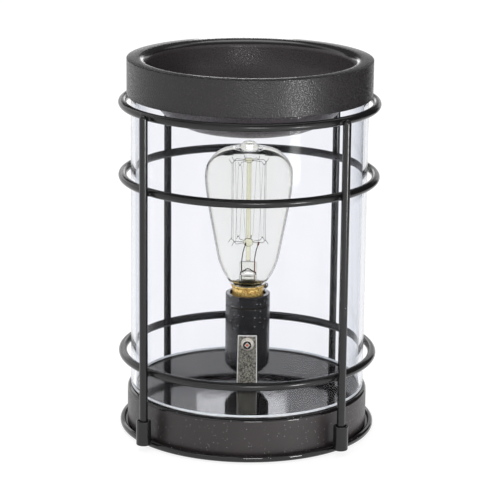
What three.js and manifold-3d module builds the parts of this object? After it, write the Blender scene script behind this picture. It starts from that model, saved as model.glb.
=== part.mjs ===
// A candle (wax) warmer: a metal wax dish on a glass chimney, inside a wire cage on a round base that
// holds a small filament bulb. Millimetres, +Z up, the front faces -Y, and the origin is the middle of
// the base where it stands. Angles are in degrees from the front, and they grow towards +X.

import * as THREE from "three";
import { mergeVertices } from "three/addons/utils/BufferGeometryUtils.js";
import Module from "manifold-3d";

const wasm = await Module();
wasm.setup();

// Driving sizes
const overall_height = 160;
const plate_height = 18.3;
const glass_radius = 50;
const glass_wall = 2;
const wire_diameter = 3.5;
const sheet = 0.8;
const bowl_depth = 29.6;
const bulb_radius = 18.7;
const cap_radius = 6.95;

// Clearances
const seat_gap = 0.3;
const cage_clearance = 1.7;
const skirt_clearance = 0.9;
const bowl_clearance = 3.7;
const tip_clearance = 5.8;
const cut_overrun = 1;

// Facets
const wide_steps = 48;
const small_steps = 20;
const peg_steps = 12;
const arc_steps = 2;
const round_end_steps = 8;
const wire_sides = 8;
const thin_wire_sides = 4;

// Wax dish
const skirt_height = 15.3;
const skirt_corner = 1.2;
const lip_corner = 3.2;
const bowl_corner = 25;
const bowl_radius = glass_radius - glass_wall - bowl_clearance;
const bowl_underside = overall_height - bowl_depth;
const skirt_radius = glass_radius + skirt_clearance + sheet;
const skirt_bottom = overall_height - skirt_height;

// Base
const pad_thickness = 0.7;
const pad_inset = 6.6;
const shoulder_margin = 1.4;
const shoulder_corner = 1.5;
const channel_width = 1.1;
const bead_width = 2.1;
const bead_height = 2.8;
const bead_drop = 0.55;
const bead_outer_corner = 1;
const bead_inner_corner = 0.4;
const raised_floor_margin = 13.4;
const raised_floor_slope = 2;
const raised_floor_rise = 3.2;
const drum_radius = glass_radius + shoulder_margin;
const bead_inner_radius = drum_radius + channel_width;
const pan_radius = bead_inner_radius + bead_width;
const pad_radius = pan_radius - pad_inset;
const raised_floor_radius = drum_radius - raised_floor_margin;
const pan_underside = pad_thickness + seat_gap;
const pan_floor = pan_underside + sheet;
const drum_bottom = pan_floor + seat_gap;
const drum_ceiling = plate_height - sheet;
const bead_bottom = pan_underside - bead_drop;
const bead_top = bead_bottom + bead_height;
const raised_underside = pan_underside + raised_floor_rise;
const raised_floor = raised_underside + sheet;

// Screws that hold the pan under the drum
const cover_post_angles = [0, 120, 240];
const cover_post_place_share = 0.8;
const cover_post_radius = 3.5;
const cover_screw_radius = 1.5;
const cover_screw_reach = 7;
const cover_head_radius = 3;
const cover_head_height = 1.8;
const cover_post_place = raised_floor_radius * cover_post_place_share;

// Wire cage
const ring_drop = 1.55;
const lower_ring_rise = 14.8;
const middle_ring_share = 0.712;
const rod_shortfall = 0.35;
const rod_angles = { front_left: -48.6, front_right: 43.4, back_left: -140.2, back_right: 137 };
const ferrule_wall = 1.05;
const ferrule_length = 10.5;
const ferrule_lift = 1.95;
const ferrule_bevel = 0.4;
const wire_radius = wire_diameter / 2;
const ring_radius = glass_radius + cage_clearance + wire_radius;
const top_ring_height = skirt_bottom - ring_drop - wire_radius;
const lower_ring_height = plate_height + lower_ring_rise;
const middle_ring_height = lower_ring_height + (top_ring_height - lower_ring_height) * middle_ring_share;
const rod_place = ring_radius + wire_diameter + seat_gap;
const rod_top = top_ring_height + wire_radius - rod_shortfall;
const ferrule_bore = wire_radius + seat_gap;
const ferrule_radius = ferrule_bore + ferrule_wall;
const ferrule_bottom = bead_bottom + ferrule_lift;

// Screw thread of the lamp
const thread_pitch = 2.82;
const thread_depth = 0.5;
const shell_thread_depth = 0.3;
const shell_wall = 0.35;
const shell_bore = cap_radius + seat_gap;
const shell_radius = shell_bore + shell_thread_depth + shell_wall;

// Lamp holder and its bracket
const holder_wall = 1.3;
const holder_lift = 5.9;
const holder_taper_height = 3.4;
const holder_taper_inset = 2.6;
const holder_floor_thickness = 4;
const holder_mouth_radius = 4;
const collar_height = 4.95;
const collar_lip = 1.2;
const collar_lip_overlap = 0.6;
const collar_bevel = 0.3;
const cap_show = 3.8;
const bracket_sheet = 1;
const bracket_top_width = 8;
const bracket_foot_width = 8.6;
const bracket_rise = 23.7;
const bracket_screw_drop = 3.6;
const bracket_screw_radius = 1.25;
const bracket_screw_reach = 6;
const bracket_head_radius = 2.3;
const bracket_head_height = 1.3;
const bracket_head_corner = 0.7;
const recess_length = 2.6;
const recess_width = 0.6;
const recess_depth = 0.7;
const washer_radius = 2.8;
const washer_thickness = 0.5;
const holder_cavity = shell_radius + seat_gap;
const holder_radius = holder_cavity + holder_wall;
const holder_bottom = plate_height + holder_lift;
const holder_cavity_floor = holder_bottom + holder_floor_thickness;
const bracket_bottom = plate_height + seat_gap;
const bracket_top = bracket_bottom + bracket_rise;
const bracket_back = holder_radius + seat_gap;
const bracket_front = bracket_back + bracket_sheet;
const bracket_screw_height = bracket_top - bracket_screw_drop;
const bracket_hole = bracket_screw_radius + seat_gap;

// Contacts in the foot of the holder
const contact_base_margin = 0.55;
const wiring_recess_radius = 6;
const wiring_recess_height = 3;
const terminal_place = 4.6;
const terminal_head_radius = 1.6;
const terminal_screw_radius = 0.9;
const terminal_screw_length = 4;
const contact_head_radius = 2.3;
const contact_head_height = 0.9;
const contact_stem_radius = 1.2;
const contact_stem_length = 8;
const lead_radius = 0.7;
const lead_hole = 1.2;
const lead_steps = 27;
const lead_sides = 6;
const lead_route_shares = { draw_in: 0.8, halfway: 0.5, near_rivet: 0.1, spread: 0.55 };
const contact_base_radius = holder_cavity - seat_gap;
const contact_base_bottom = holder_cavity_floor + seat_gap;
const contact_base_top = bracket_screw_height + bracket_hole + contact_base_margin;
const wiring_recess_top = contact_base_bottom + wiring_recess_height;
const contact_head_bottom = contact_base_top + seat_gap;
const contact_head_top = contact_head_bottom + contact_head_height;

// Hollow rivet that fastens the bracket's foot and lets the leads through
const rivet_bore = 2.2;
const rivet_wall = 0.7;
const rivet_flange = 1.2;
const rivet_flange_height = 0.7;
const rivet_radius = rivet_bore + rivet_wall;
const rivet_hole = rivet_radius + seat_gap;
const rivet_flange_radius = rivet_radius + rivet_flange;

// Terminal block in the base
const block_across = 14;
const block_deep = 12;
const block_headroom = 3;
const block_place = 21;
const block_pole_place = 3;
const block_bore = 1.2;
const block_screw_radius = 0.9;
const block_head_radius = 1.5;
const block_head_height = 0.9;
const block_bottom = raised_floor + seat_gap;
const block_top = drum_ceiling - block_headroom - block_head_height - seat_gap;
const block_high = block_top - block_bottom;
const block_bore_height = block_bottom + block_high / 2;
const block_front = block_place - block_deep / 2;
const block_screw_place = block_place - block_deep / 4;

// Cord inlet bush in the drum's rear wall
const inlet_bore = 2.6;
const inlet_neck_radius = 3.7;
const inlet_flange_radius = 5.5;
const inlet_flange_height = 1.6;
const inlet_clip_radius = 5;
const inlet_clip_height = 1.5;
const inlet_bevel = 0.5;
const inlet_wall_gap = 0.6;
const inlet_height = (drum_bottom + drum_ceiling) / 2;

// Bulb
const cap_shell_length = 16;
const cap_wall = 0.4;
const cap_skirt_radius = 6.7;
const cap_rim_radius = 7.3;
const cap_rim_height = 0.6;
const cap_skirt_height = 3.2;
const cap_foot_height = 0.9;
const cap_foot_inset = 0.65;
const insulator_height = 2.6;
const end_contact_radius = 2.6;
const end_contact_height = 0.8;
const bulb_wall = 0.6;
const bulb_neck_length = 5.3;
const cap_contact_bottom = contact_head_top + seat_gap;
const insulator_bottom = cap_contact_bottom + end_contact_height + seat_gap;
const cap_shell_bottom = insulator_bottom + insulator_height + seat_gap;
const cap_rim = cap_shell_bottom + cap_shell_length;
const cap_root_radius = cap_radius - thread_depth;
const cap_bore = cap_root_radius - cap_wall;
const holder_top = cap_rim - cap_show;
const collar_bottom = holder_top - collar_height;
const shell_bottom = contact_base_top + seat_gap;
const shell_top = holder_top - collar_lip - seat_gap;
const bulb_seat = cap_rim + seat_gap;
const bulb_tip = bowl_underside - tip_clearance;
const bulb_length = bulb_tip - bulb_seat;
const bulb_neck_radius = cap_bore - seat_gap;

// Outline of the bulb from its seat to its shoulder, each point as shares of its length and its radius
const bulb_outline_shares = [
  [0, 0.4], [0.07, 0.545], [0.134, 0.642], [0.2, 0.706], [0.33, 0.786], [0.445, 0.861], [0.527, 0.909],
  [0.617, 0.957], [0.755, 1], [0.847, 0.93], [0.895, 0.815], [0.926, 0.69], [0.942, 0.551],
];
const bulb_nipple_shares = [[0.958, 0.267], [0.985, 0.16], [1, 0.1]];

// Inner parts of the bulb
const stem_radius = 3.8;
const stem_bore = 3.3;
const stem_flare_height = 3.6;
const stem_tube_share = 0.155;
const pinch_thickness = 3;
const pinch_height = 5.4;
const pinch_corner = 1;
const pinch_lead_place = 2.7;
const inner_wire_radius = 0.25;
const inner_wire_hole = 0.5;
const arbor_radius = 0.95;
const arbor_foot_radius = 1.9;
const arbor_foot_height = 2.4;
const bead_ball = { radius: 2, half_height: 1.6 };
const top_bead_ball = { radius: 1.8, half_height: 1.1 };
const lower_bead_share = 0.291;
const upper_bead_share = 0.87;
const lead_in_bend_share = 0.5;
const hook_reach = 7.3;
const hook_rise = 1.2;
const hook_end_reach = 1.3;
const hook_end_drop = 1.6;
const filament_radius = 0.15;
const filament_bend = 0.8;
const filament_start_degrees = 36;
const filament_step_degrees = 45;
const filament_lower_hooks = 6;
const filament_sides = 4;
const stem_bottom = bulb_seat - bulb_neck_length;
const stem_flare_radius = bulb_neck_radius - bulb_wall - seat_gap;
const pinch_top = bulb_seat + bulb_length * stem_tube_share;
const pinch_bottom = pinch_top - pinch_height;
const filament_end_degrees = filament_start_degrees + filament_step_degrees * (filament_lower_hooks + 1);
const lower_hook_angles = Array.from({ length: filament_lower_hooks }, (_, i) => {
  return filament_start_degrees + filament_step_degrees * (i + 1);
});
const upper_hook_angles = Array.from({ length: filament_lower_hooks + 1 }, (_, i) => {
  return filament_start_degrees + filament_step_degrees * (i + 0.5);
});
const lower_bead_height = bulb_seat + bulb_length * lower_bead_share;
const upper_bead_height = bulb_seat + bulb_length * upper_bead_share;

// Finishes
const powder_black = finish(0x2b2b2d, 0.55, 0.3);
const gloss_black = finish(0x141415, 0.12, 0.2);
const wire_black = finish(0x1d1d1f, 0.4, 0.3);
const clear_glass = finish(0xdfe8ee, 0.04, 0, 0.3);
const stem_glass = finish(0xe8ead8, 0.08, 0, 0.5);
const plated_steel = finish(0x8d8a80, 0.4, 0.9);
const brass = finish(0xd2a54a, 0.3, 1);
const copper_screw = finish(0xb98a62, 0.3, 1);
const black_resin = finish(0x242424, 0.35, 0);
const white_insulator = finish(0xe4e2da, 0.6, 0);
const foam_black = finish(0x2a2a2a, 0.9, 0);
const dark_insulation = finish(0x3a3a3a, 0.5, 0);
const tungsten = finish(0x6b6762, 0.5, 0.9);

/** A plain finish. An opacity below one makes it see-through. */
function finish(color, roughness, metalness, opacity = 1) {
  return new THREE.MeshStandardMaterial({ color, roughness, metalness, opacity, transparent: opacity < 1 });
}

/** The same shape with its shared corners merged and without the faces that this shrinks to a line. */
function welded(geometry) {
  const bare = geometry.clone();
  bare.deleteAttribute("normal");
  bare.deleteAttribute("uv");
  const merged = mergeVertices(bare);
  const corners = Array.from(merged.index.array);
  const kept = [];
  for (let i = 0; i < corners.length; i += 3) {
    const [a, b, c] = corners.slice(i, i + 3);
    if (a !== b && b !== c && c !== a) kept.push(a, b, c);
  }
  merged.setIndex(kept);
  return merged;
}

/** A closed shape as a solid that can be cut and joined. */
function solid(geometry) {
  const closed = welded(geometry);
  const vertProperties = new Float32Array(closed.attributes.position.array);
  const triVerts = new Uint32Array(closed.index.array);
  return new wasm.Manifold(new wasm.Mesh({ numProp: 3, vertProperties, triVerts }));
}

/** A cut or joined solid as a three.js shape. */
function shape_of(body) {
  const mesh = body.getMesh();
  const geometry = new THREE.BufferGeometry();
  geometry.setAttribute("position", new THREE.BufferAttribute(new Float32Array(mesh.vertProperties), 3));
  geometry.setIndex(Array.from(mesh.triVerts));
  return geometry;
}

/** The first shape with the others cut away. */
function cut(base, ...tools) {
  return shape_of(tools.reduce((body, tool) => body.subtract(solid(tool)), solid(base)));
}

/** All the shapes joined into one. */
function joined(base, ...others) {
  return shape_of(others.reduce((body, other) => body.add(solid(other)), solid(base)));
}

/** A point of a turned outline: its distance from the axis and its height. */
function at(radius, height) {
  return new THREE.Vector2(Math.max(radius, 0), height);
}

/** The points of a round corner about a centre, from one angle to another in degrees. */
function corner(centre, radius, from, to, steps = arc_steps) {
  return Array.from({ length: steps + 1 }, (_, i) => {
    const angle = THREE.MathUtils.degToRad(from + ((to - from) * i) / steps);
    return at(centre.x + radius * Math.cos(angle), centre.y + radius * Math.sin(angle));
  });
}

/** An outline turned about the Z axis. It runs up on the outside, and starts and ends on the axis. */
function turned(outline, steps) {
  return new THREE.LatheGeometry(outline, steps).rotateX(Math.PI / 2);
}

/** A turned outline that closes on itself, so that the piece is open along its axis. */
function turned_ring(outline, steps) {
  return turned([...outline, outline[0]], steps);
}

/** An upright round peg between two heights. */
function peg(radius, low, high, steps = peg_steps) {
  return turned([at(0, low), at(radius, low), at(radius, high), at(0, high)], steps);
}

/** A block with its middle at a place. */
function block(across, deep, high, place) {
  return new THREE.BoxGeometry(across, deep, high).translate(place.x, place.y, place.z);
}

/** A place at a radius and an angle from the front, at a height. */
function spot(radius, degrees, height) {
  const angle = THREE.MathUtils.degToRad(degrees);
  return new THREE.Vector3(radius * Math.sin(angle), -radius * Math.cos(angle), height);
}

/** A path that runs straight from point to point and has one section at each point. */
class PointPath extends THREE.Curve {
  constructor(points) {
    super();
    this.points = points;
  }

  getPoint(share) {
    const last = this.points.length - 2;
    const place = share * (this.points.length - 1);
    const step = Math.min(Math.floor(place), last);
    return this.points[step].clone().lerp(this.points[step + 1], place - step);
  }

  getPointAt(share) {
    return this.getPoint(share);
  }

  getTangentAt(share) {
    const point = Math.round(share * (this.points.length - 1));
    const before = this.points[Math.max(point - 1, 0)];
    const here = this.points[point];
    const after = this.points[Math.min(point + 1, this.points.length - 1)];
    const arriving = here.clone().sub(before).normalize();
    const leaving = after.clone().sub(here).normalize();
    return arriving.add(leaving).normalize();
  }
}

/** A round wire along a path of points. */
function wire(points, radius, sides = thin_wire_sides) {
  const section = new THREE.Shape(
    Array.from({ length: sides }, (_, i) => {
      const angle = (2 * Math.PI * i) / sides;
      return new THREE.Vector2(radius * Math.cos(angle), radius * Math.sin(angle));
    }),
  );
  const path = new PointPath(points);
  return new THREE.ExtrudeGeometry(section, { steps: points.length - 1, extrudePath: path });
}

const warmer = new THREE.Group();
warmer.name = "candle_warmer";

/** Adds one piece to the warmer. */
function add(name, geometry, material) {
  if (!geometry.attributes.normal) geometry.computeVertexNormals();
  const mesh = new THREE.Mesh(geometry, material);
  mesh.name = name;
  warmer.add(mesh);
  return mesh;
}

/** The pressed dish: a bowl, a flat lip and a skirt that hangs over the chimney. */
function wax_dish() {
  const floor_radius = bowl_radius - bowl_corner;
  const bowl_centre = at(floor_radius, bowl_underside + bowl_corner);
  const skirt_inside = skirt_radius - sheet;
  const lip_centre = at(bowl_radius - sheet + lip_corner, overall_height - lip_corner);
  const skirt_centre = at(skirt_radius - skirt_corner, overall_height - skirt_corner);
  const bowl_steps = 2 * arc_steps;
  return turned(
    [
      at(0, bowl_underside),
      ...corner(bowl_centre, bowl_corner, -90, 0, bowl_steps),
      ...corner(lip_centre, lip_corner - sheet, 180, 90),
      ...corner(skirt_centre, skirt_corner - sheet, 90, 0, 1),
      at(skirt_inside, skirt_bottom),
      at(skirt_radius, skirt_bottom),
      ...corner(skirt_centre, skirt_corner, 0, 90),
      ...corner(lip_centre, lip_corner, 90, 180),
      ...corner(bowl_centre, bowl_corner - sheet, 0, -90, bowl_steps),
      at(0, bowl_underside + sheet),
    ],
    wide_steps,
  );
}

/** The clear chimney, open at both ends. It stands on the drum and carries the dish. */
function glass_chimney() {
  const low = plate_height + seat_gap;
  const high = overall_height - sheet - seat_gap;
  const inside = glass_radius - glass_wall;
  const outline = [at(inside, low), at(glass_radius, low), at(glass_radius, high), at(inside, high)];
  return turned_ring(outline, wide_steps);
}

/** The upside-down can whose flat top is the lamp plate. */
function base_drum() {
  const shoulder = at(drum_radius - shoulder_corner, plate_height - shoulder_corner);
  const can = turned_ring(
    [
      at(rivet_hole, drum_ceiling),
      ...corner(shoulder, shoulder_corner - sheet, 90, 0),
      at(drum_radius - sheet, drum_bottom),
      at(drum_radius, drum_bottom),
      ...corner(shoulder, shoulder_corner, 0, 90),
      at(rivet_hole, plate_height),
    ],
    wide_steps,
  );
  const inlet_hole = peg(inlet_neck_radius + seat_gap, 0, drum_radius + cut_overrun, small_steps);
  return cut(can, inlet_hole.rotateX(-Math.PI / 2).translate(0, 0, inlet_height));
}

/** The pan under the drum: a raised floor, a flat floor and a round bead at its edge. */
function base_pan() {
  const slope_foot = raised_floor_radius + raised_floor_slope;
  const outer = pan_radius - bead_outer_corner;
  const inner = bead_inner_radius + bead_inner_corner;
  const pan = turned(
    [
      at(0, raised_underside),
      at(raised_floor_radius, raised_underside),
      at(slope_foot, pan_underside),
      at(bead_inner_radius, pan_underside),
      ...corner(at(outer, bead_bottom + bead_outer_corner), bead_outer_corner, -90, 0),
      ...corner(at(outer, bead_top - bead_outer_corner), bead_outer_corner, 0, 90),
      ...corner(at(inner, bead_top - bead_inner_corner), bead_inner_corner, 90, 180, 1),
      at(bead_inner_radius, pan_floor),
      at(slope_foot + sheet / 2, pan_floor),
      at(raised_floor_radius + sheet / 2, raised_floor),
      at(0, raised_floor),
    ],
    wide_steps,
  );
  const notches = Object.values(rod_angles).map((degrees) => {
    const { x, y } = spot(rod_place, degrees, 0);
    const notch_bottom = ferrule_bottom - seat_gap;
    const notch = peg(ferrule_radius + seat_gap, notch_bottom, bead_top + cut_overrun, small_steps);
    return notch.translate(x, y, 0);
  });
  const screw_holes = cover_post_angles.map((degrees) => {
    const { x, y } = spot(cover_post_place, degrees, 0);
    const hole = peg(cover_screw_radius + seat_gap, raised_underside - cut_overrun, raised_floor + cut_overrun);
    return hole.translate(x, y, 0);
  });
  return cut(pan, ...notches, ...screw_holes);
}

/** A threaded post under the drum's top, with a blind hole for a cover screw. */
function cover_post(degrees) {
  const { x, y } = spot(cover_post_place, degrees, 0);
  const low = raised_floor + seat_gap;
  const high = drum_ceiling - seat_gap;
  const bore = cover_screw_radius + seat_gap;
  const bore_end = raised_floor + cover_screw_reach + seat_gap;
  const outline = [at(0, bore_end), at(bore, bore_end), at(bore, low), at(cover_post_radius, low)];
  return turned([...outline, at(cover_post_radius, high), at(0, high)], peg_steps).translate(x, y, 0);
}

/** A screw that holds the pan from below. */
function cover_screw(degrees) {
  const { x, y } = spot(cover_post_place, degrees, 0);
  const head_top = raised_underside - seat_gap;
  const head_bottom = head_top - cover_head_height;
  const outline = [at(0, head_bottom), at(cover_head_radius, head_bottom), at(cover_head_radius, head_top)];
  const end = raised_floor + cover_screw_reach;
  outline.push(at(cover_screw_radius, head_top), at(cover_screw_radius, end), at(0, end));
  return turned(outline, peg_steps).translate(x, y, 0);
}

/** One wire ring of the cage at a height. */
function cage_ring(height) {
  return new THREE.TorusGeometry(ring_radius, wire_radius, wire_sides, wide_steps).translate(0, 0, height);
}

/** One upright rod of the cage, with a rounded top. */
function cage_rod(degrees) {
  const { x, y } = spot(rod_place, degrees, 0);
  const foot = ferrule_bottom + sheet + seat_gap;
  const dome = corner(at(0, rod_top - wire_radius), wire_radius, 0, 90);
  return turned([at(0, foot), at(wire_radius, foot), ...dome], peg_steps).translate(x, y, 0);
}

/** The short socket that a rod stands in. */
function ferrule(degrees) {
  const { x, y } = spot(rod_place, degrees, 0);
  const top = ferrule_bottom + ferrule_length;
  const floor = ferrule_bottom + sheet;
  const outline = [
    at(0, ferrule_bottom),
    at(ferrule_radius, ferrule_bottom),
    at(ferrule_radius, top - ferrule_bevel),
    at(ferrule_radius - ferrule_bevel, top),
    at(ferrule_bore, top),
    at(ferrule_bore, floor),
    at(0, floor),
  ];
  return turned(outline, peg_steps).translate(x, y, 0);
}

/** The plated strip that stands in front of the holder, with its foot bent under it. */
function lamp_bracket() {
  const foot_half = bracket_foot_width / 2;
  const top_half = bracket_top_width / 2;
  const upright = new THREE.Shape([
    new THREE.Vector2(-foot_half, bracket_bottom),
    new THREE.Vector2(foot_half, bracket_bottom),
    new THREE.Vector2(top_half, bracket_top),
    new THREE.Vector2(-top_half, bracket_top),
  ]);
  const upright_strip = new THREE.ExtrudeGeometry(upright, { depth: bracket_sheet, bevelEnabled: false });
  upright_strip.rotateX(Math.PI / 2).translate(0, -bracket_back, 0);
  const foot = new THREE.Shape();
  foot.moveTo(-foot_half, -bracket_front);
  foot.lineTo(foot_half, -bracket_front);
  foot.absarc(0, 0, foot_half, 0, Math.PI, false);
  foot.closePath();
  const bent = { depth: bracket_sheet, bevelEnabled: false, curveSegments: round_end_steps };
  const foot_strip = new THREE.ExtrudeGeometry(foot, bent);
  foot_strip.translate(0, 0, bracket_bottom);
  const rivet_cut = peg(rivet_hole, bracket_bottom - cut_overrun, bracket_bottom + bracket_sheet + cut_overrun);
  const screw_cut = along_front(peg(bracket_hole, bracket_back - cut_overrun, bracket_front + cut_overrun));
  return cut(joined(upright_strip, foot_strip), rivet_cut, screw_cut);
}

/** Lays an upright piece down so that its top faces the front, at the bracket screw's height. */
function along_front(geometry) {
  return geometry.rotateX(Math.PI / 2).translate(0, 0, bracket_screw_height);
}

/** The washer under the bracket screw's head. */
function bracket_washer() {
  const back = bracket_front + seat_gap;
  const front = back + washer_thickness;
  const rim = [at(washer_radius, back), at(washer_radius, front)];
  return along_front(turned_ring([at(bracket_hole, back), ...rim, at(bracket_hole, front)], small_steps));
}

/** The round-headed screw with a cross recess that holds the lamp holder to its bracket. */
function bracket_screw() {
  const head_back = bracket_front + washer_thickness + 2 * seat_gap;
  const head_front = head_back + bracket_head_height;
  const tip = bracket_back - bracket_screw_reach;
  const dome = at(bracket_head_radius - bracket_head_corner, head_front - bracket_head_corner);
  const screw = turned(
    [
      at(0, tip),
      at(bracket_screw_radius, tip),
      at(bracket_screw_radius, head_back),
      at(bracket_head_radius, head_back),
      ...corner(dome, bracket_head_corner, 0, 90),
      at(0, head_front),
    ],
    peg_steps,
  );
  const recess_middle = new THREE.Vector3(0, 0, head_front);
  const recess_slots = [
    block(recess_length, recess_width, 2 * recess_depth, recess_middle),
    block(recess_width, recess_length, 2 * recess_depth, recess_middle),
  ];
  return along_front(cut(screw, ...recess_slots));
}

/** The hollow rivet through the bracket's foot and the drum's top. */
function bracket_rivet() {
  const upper_low = bracket_bottom + bracket_sheet + seat_gap;
  const upper_high = upper_low + rivet_flange_height;
  const lower_high = drum_ceiling - seat_gap;
  const lower_low = lower_high - rivet_flange_height;
  const outline = [
    at(rivet_bore, lower_low),
    at(rivet_flange_radius, lower_low),
    at(rivet_flange_radius, lower_high),
    at(rivet_radius, lower_high),
    at(rivet_radius, upper_low),
    at(rivet_flange_radius, upper_low),
    at(rivet_flange_radius, upper_high),
    at(rivet_bore, upper_high),
  ];
  return turned_ring(outline, small_steps);
}

/** The black holder: a tapered foot with the wiring hole, and a cavity for the contacts and the shell. */
function holder_body() {
  const top = collar_bottom - seat_gap;
  const foot_radius = holder_radius - holder_taper_inset;
  const tube = turned_ring(
    [
      at(holder_mouth_radius, holder_bottom),
      at(foot_radius, holder_bottom),
      at(holder_radius, holder_bottom + holder_taper_height),
      at(holder_radius, top),
      at(holder_cavity, top),
      at(holder_cavity, holder_cavity_floor),
      at(holder_mouth_radius, holder_cavity_floor),
    ],
    small_steps,
  );
  return cut(tube, along_front(peg(bracket_hole, contact_base_radius, holder_radius + cut_overrun)));
}

/** The collar above the holder's groove, whose lip keeps the thread shell in. */
function holder_collar() {
  const lip_bottom = holder_top - collar_lip;
  const mouth = holder_cavity - collar_lip_overlap;
  const outline = [
    at(holder_cavity, collar_bottom),
    at(holder_radius, collar_bottom),
    at(holder_radius, holder_top - collar_bevel),
    at(holder_radius - collar_bevel, holder_top),
    at(mouth + collar_bevel, holder_top),
    at(mouth, holder_top - collar_bevel),
    at(mouth, lip_bottom),
    at(holder_cavity, lip_bottom),
  ];
  return turned_ring(outline, small_steps);
}

/** The brass shell inside the holder, with ridges in place of its thread. */
function holder_shell() {
  const ridges = [];
  const half = thread_pitch / 2;
  for (let height = shell_top - half; height > shell_bottom + half; height -= thread_pitch) {
    ridges.push(at(shell_bore + shell_thread_depth, height), at(shell_bore, height - half));
  }
  const outline = [at(shell_radius, shell_bottom), at(shell_radius, shell_top), at(shell_bore, shell_top)];
  return turned_ring([...outline, ...ridges, at(shell_bore, shell_bottom)], small_steps);
}

/** The insulating plug in the foot of the holder, with its holes for the leads, the contact and the screws. */
function contact_base() {
  const plug = turned(
    [
      at(0, wiring_recess_top),
      at(wiring_recess_radius, wiring_recess_top),
      at(wiring_recess_radius, contact_base_bottom),
      at(contact_base_radius, contact_base_bottom),
      at(contact_base_radius, contact_base_top),
      at(0, contact_base_top),
    ],
    small_steps,
  );
  const low = wiring_recess_top - cut_overrun;
  const high = contact_base_top + cut_overrun;
  const tip = bracket_back - bracket_screw_reach - seat_gap;
  return cut(
    plug,
    peg(contact_stem_radius + seat_gap, low, high),
    peg(lead_hole, low, high).translate(-terminal_place, 0, 0),
    peg(lead_hole, low, high).translate(terminal_place, 0, 0),
    along_front(peg(bracket_hole, tip, holder_radius)),
  );
}

/** The riveted contact in the middle of the holder, under the bulb. */
function centre_contact() {
  const foot = contact_head_bottom - contact_stem_length;
  const outline = [
    at(0, foot),
    at(contact_stem_radius, foot),
    at(contact_stem_radius, contact_head_bottom),
    at(contact_head_radius, contact_head_bottom),
    at(contact_stem_radius, contact_head_top),
    at(0, contact_head_top),
  ];
  return turned(outline, peg_steps);
}

/** The screw that clamps one lead in the contact base. */
function terminal_screw(side) {
  const foot = contact_head_bottom - terminal_screw_length;
  const outline = [
    at(0, foot),
    at(terminal_screw_radius, foot),
    at(terminal_screw_radius, contact_head_bottom),
    at(terminal_head_radius, contact_head_bottom),
    at(terminal_head_radius, contact_head_top),
    at(0, contact_head_top),
  ];
  return turned(outline, peg_steps).translate(side * terminal_place, 0, 0);
}

/** One insulated lead, from the terminal block through the rivet to its terminal in the holder. */
function lead(side) {
  const { draw_in, halfway, near_rivet, spread } = lead_route_shares;
  const in_rivet = side * (lead_radius + seat_gap / 2);
  const lead_end = contact_head_bottom - terminal_screw_length - seat_gap;
  const leaving_height = block_bore_height + lead_radius / 2;
  const bend_height = drum_ceiling - rivet_flange_height - 2 * lead_radius;
  const route = new THREE.CatmullRomCurve3([
    new THREE.Vector3(side * block_pole_place, block_place - block_bore, block_bore_height),
    new THREE.Vector3(side * block_pole_place, block_front - lead_radius, block_bore_height),
    new THREE.Vector3(side * block_pole_place * draw_in, block_front * halfway, leaving_height),
    new THREE.Vector3(in_rivet, block_front * near_rivet, bend_height),
    new THREE.Vector3(in_rivet, 0, drum_ceiling),
    new THREE.Vector3(in_rivet, 0, holder_bottom - lead_radius),
    new THREE.Vector3(side * terminal_place * spread, 0, holder_cavity_floor),
    new THREE.Vector3(side * terminal_place, 0, wiring_recess_top - lead_radius / 2),
    new THREE.Vector3(side * terminal_place, 0, wiring_recess_top + lead_radius),
    new THREE.Vector3(side * terminal_place, 0, lead_end),
  ]);
  return wire(route.getPoints(lead_steps), lead_radius, lead_sides);
}

/** The block in the base where the cord's cores meet the leads. */
function terminal_block() {
  const middle = new THREE.Vector3(0, block_place, block_bottom + block_high / 2);
  const body = block(block_across, block_deep, block_high, middle);
  const tools = [-1, 1].flatMap((side) => {
    const bore = peg(block_bore, -block_deep, block_deep).rotateX(Math.PI / 2);
    const well = peg(block_screw_radius + seat_gap, block_bore_height, block_top + cut_overrun);
    const x = side * block_pole_place;
    return [bore.translate(x, block_place, block_bore_height), well.translate(x, block_screw_place, 0)];
  });
  return cut(body, ...tools);
}

/** The clamp screw of one pole of the terminal block. */
function block_screw(side) {
  const foot = block_bore_height + lead_radius + seat_gap;
  const head = block_top + seat_gap;
  const outline = [
    at(0, foot),
    at(block_screw_radius, foot),
    at(block_screw_radius, head),
    at(block_head_radius, head),
    at(block_head_radius, head + block_head_height),
    at(0, head + block_head_height),
  ];
  return turned(outline, peg_steps).translate(side * block_pole_place, block_screw_place, 0);
}

/** The bush in the drum's rear wall that the cord would pass through. */
function cord_inlet() {
  const flange_foot = drum_radius + seat_gap;
  const flange_top = flange_foot + inlet_flange_height;
  const clip_top = drum_radius - sheet - inlet_wall_gap;
  const clip_foot = clip_top - inlet_clip_height;
  const outline = [
    at(inlet_bore, clip_foot),
    at(inlet_clip_radius - inlet_bevel, clip_foot),
    at(inlet_clip_radius, clip_top),
    at(inlet_neck_radius, clip_top),
    at(inlet_neck_radius, flange_foot),
    at(inlet_flange_radius, flange_foot),
    at(inlet_flange_radius, flange_top - inlet_bevel),
    at(inlet_flange_radius - inlet_bevel, flange_top),
    at(inlet_bore, flange_top),
  ];
  return turned_ring(outline, small_steps).rotateX(-Math.PI / 2).translate(0, 0, inlet_height);
}

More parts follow.
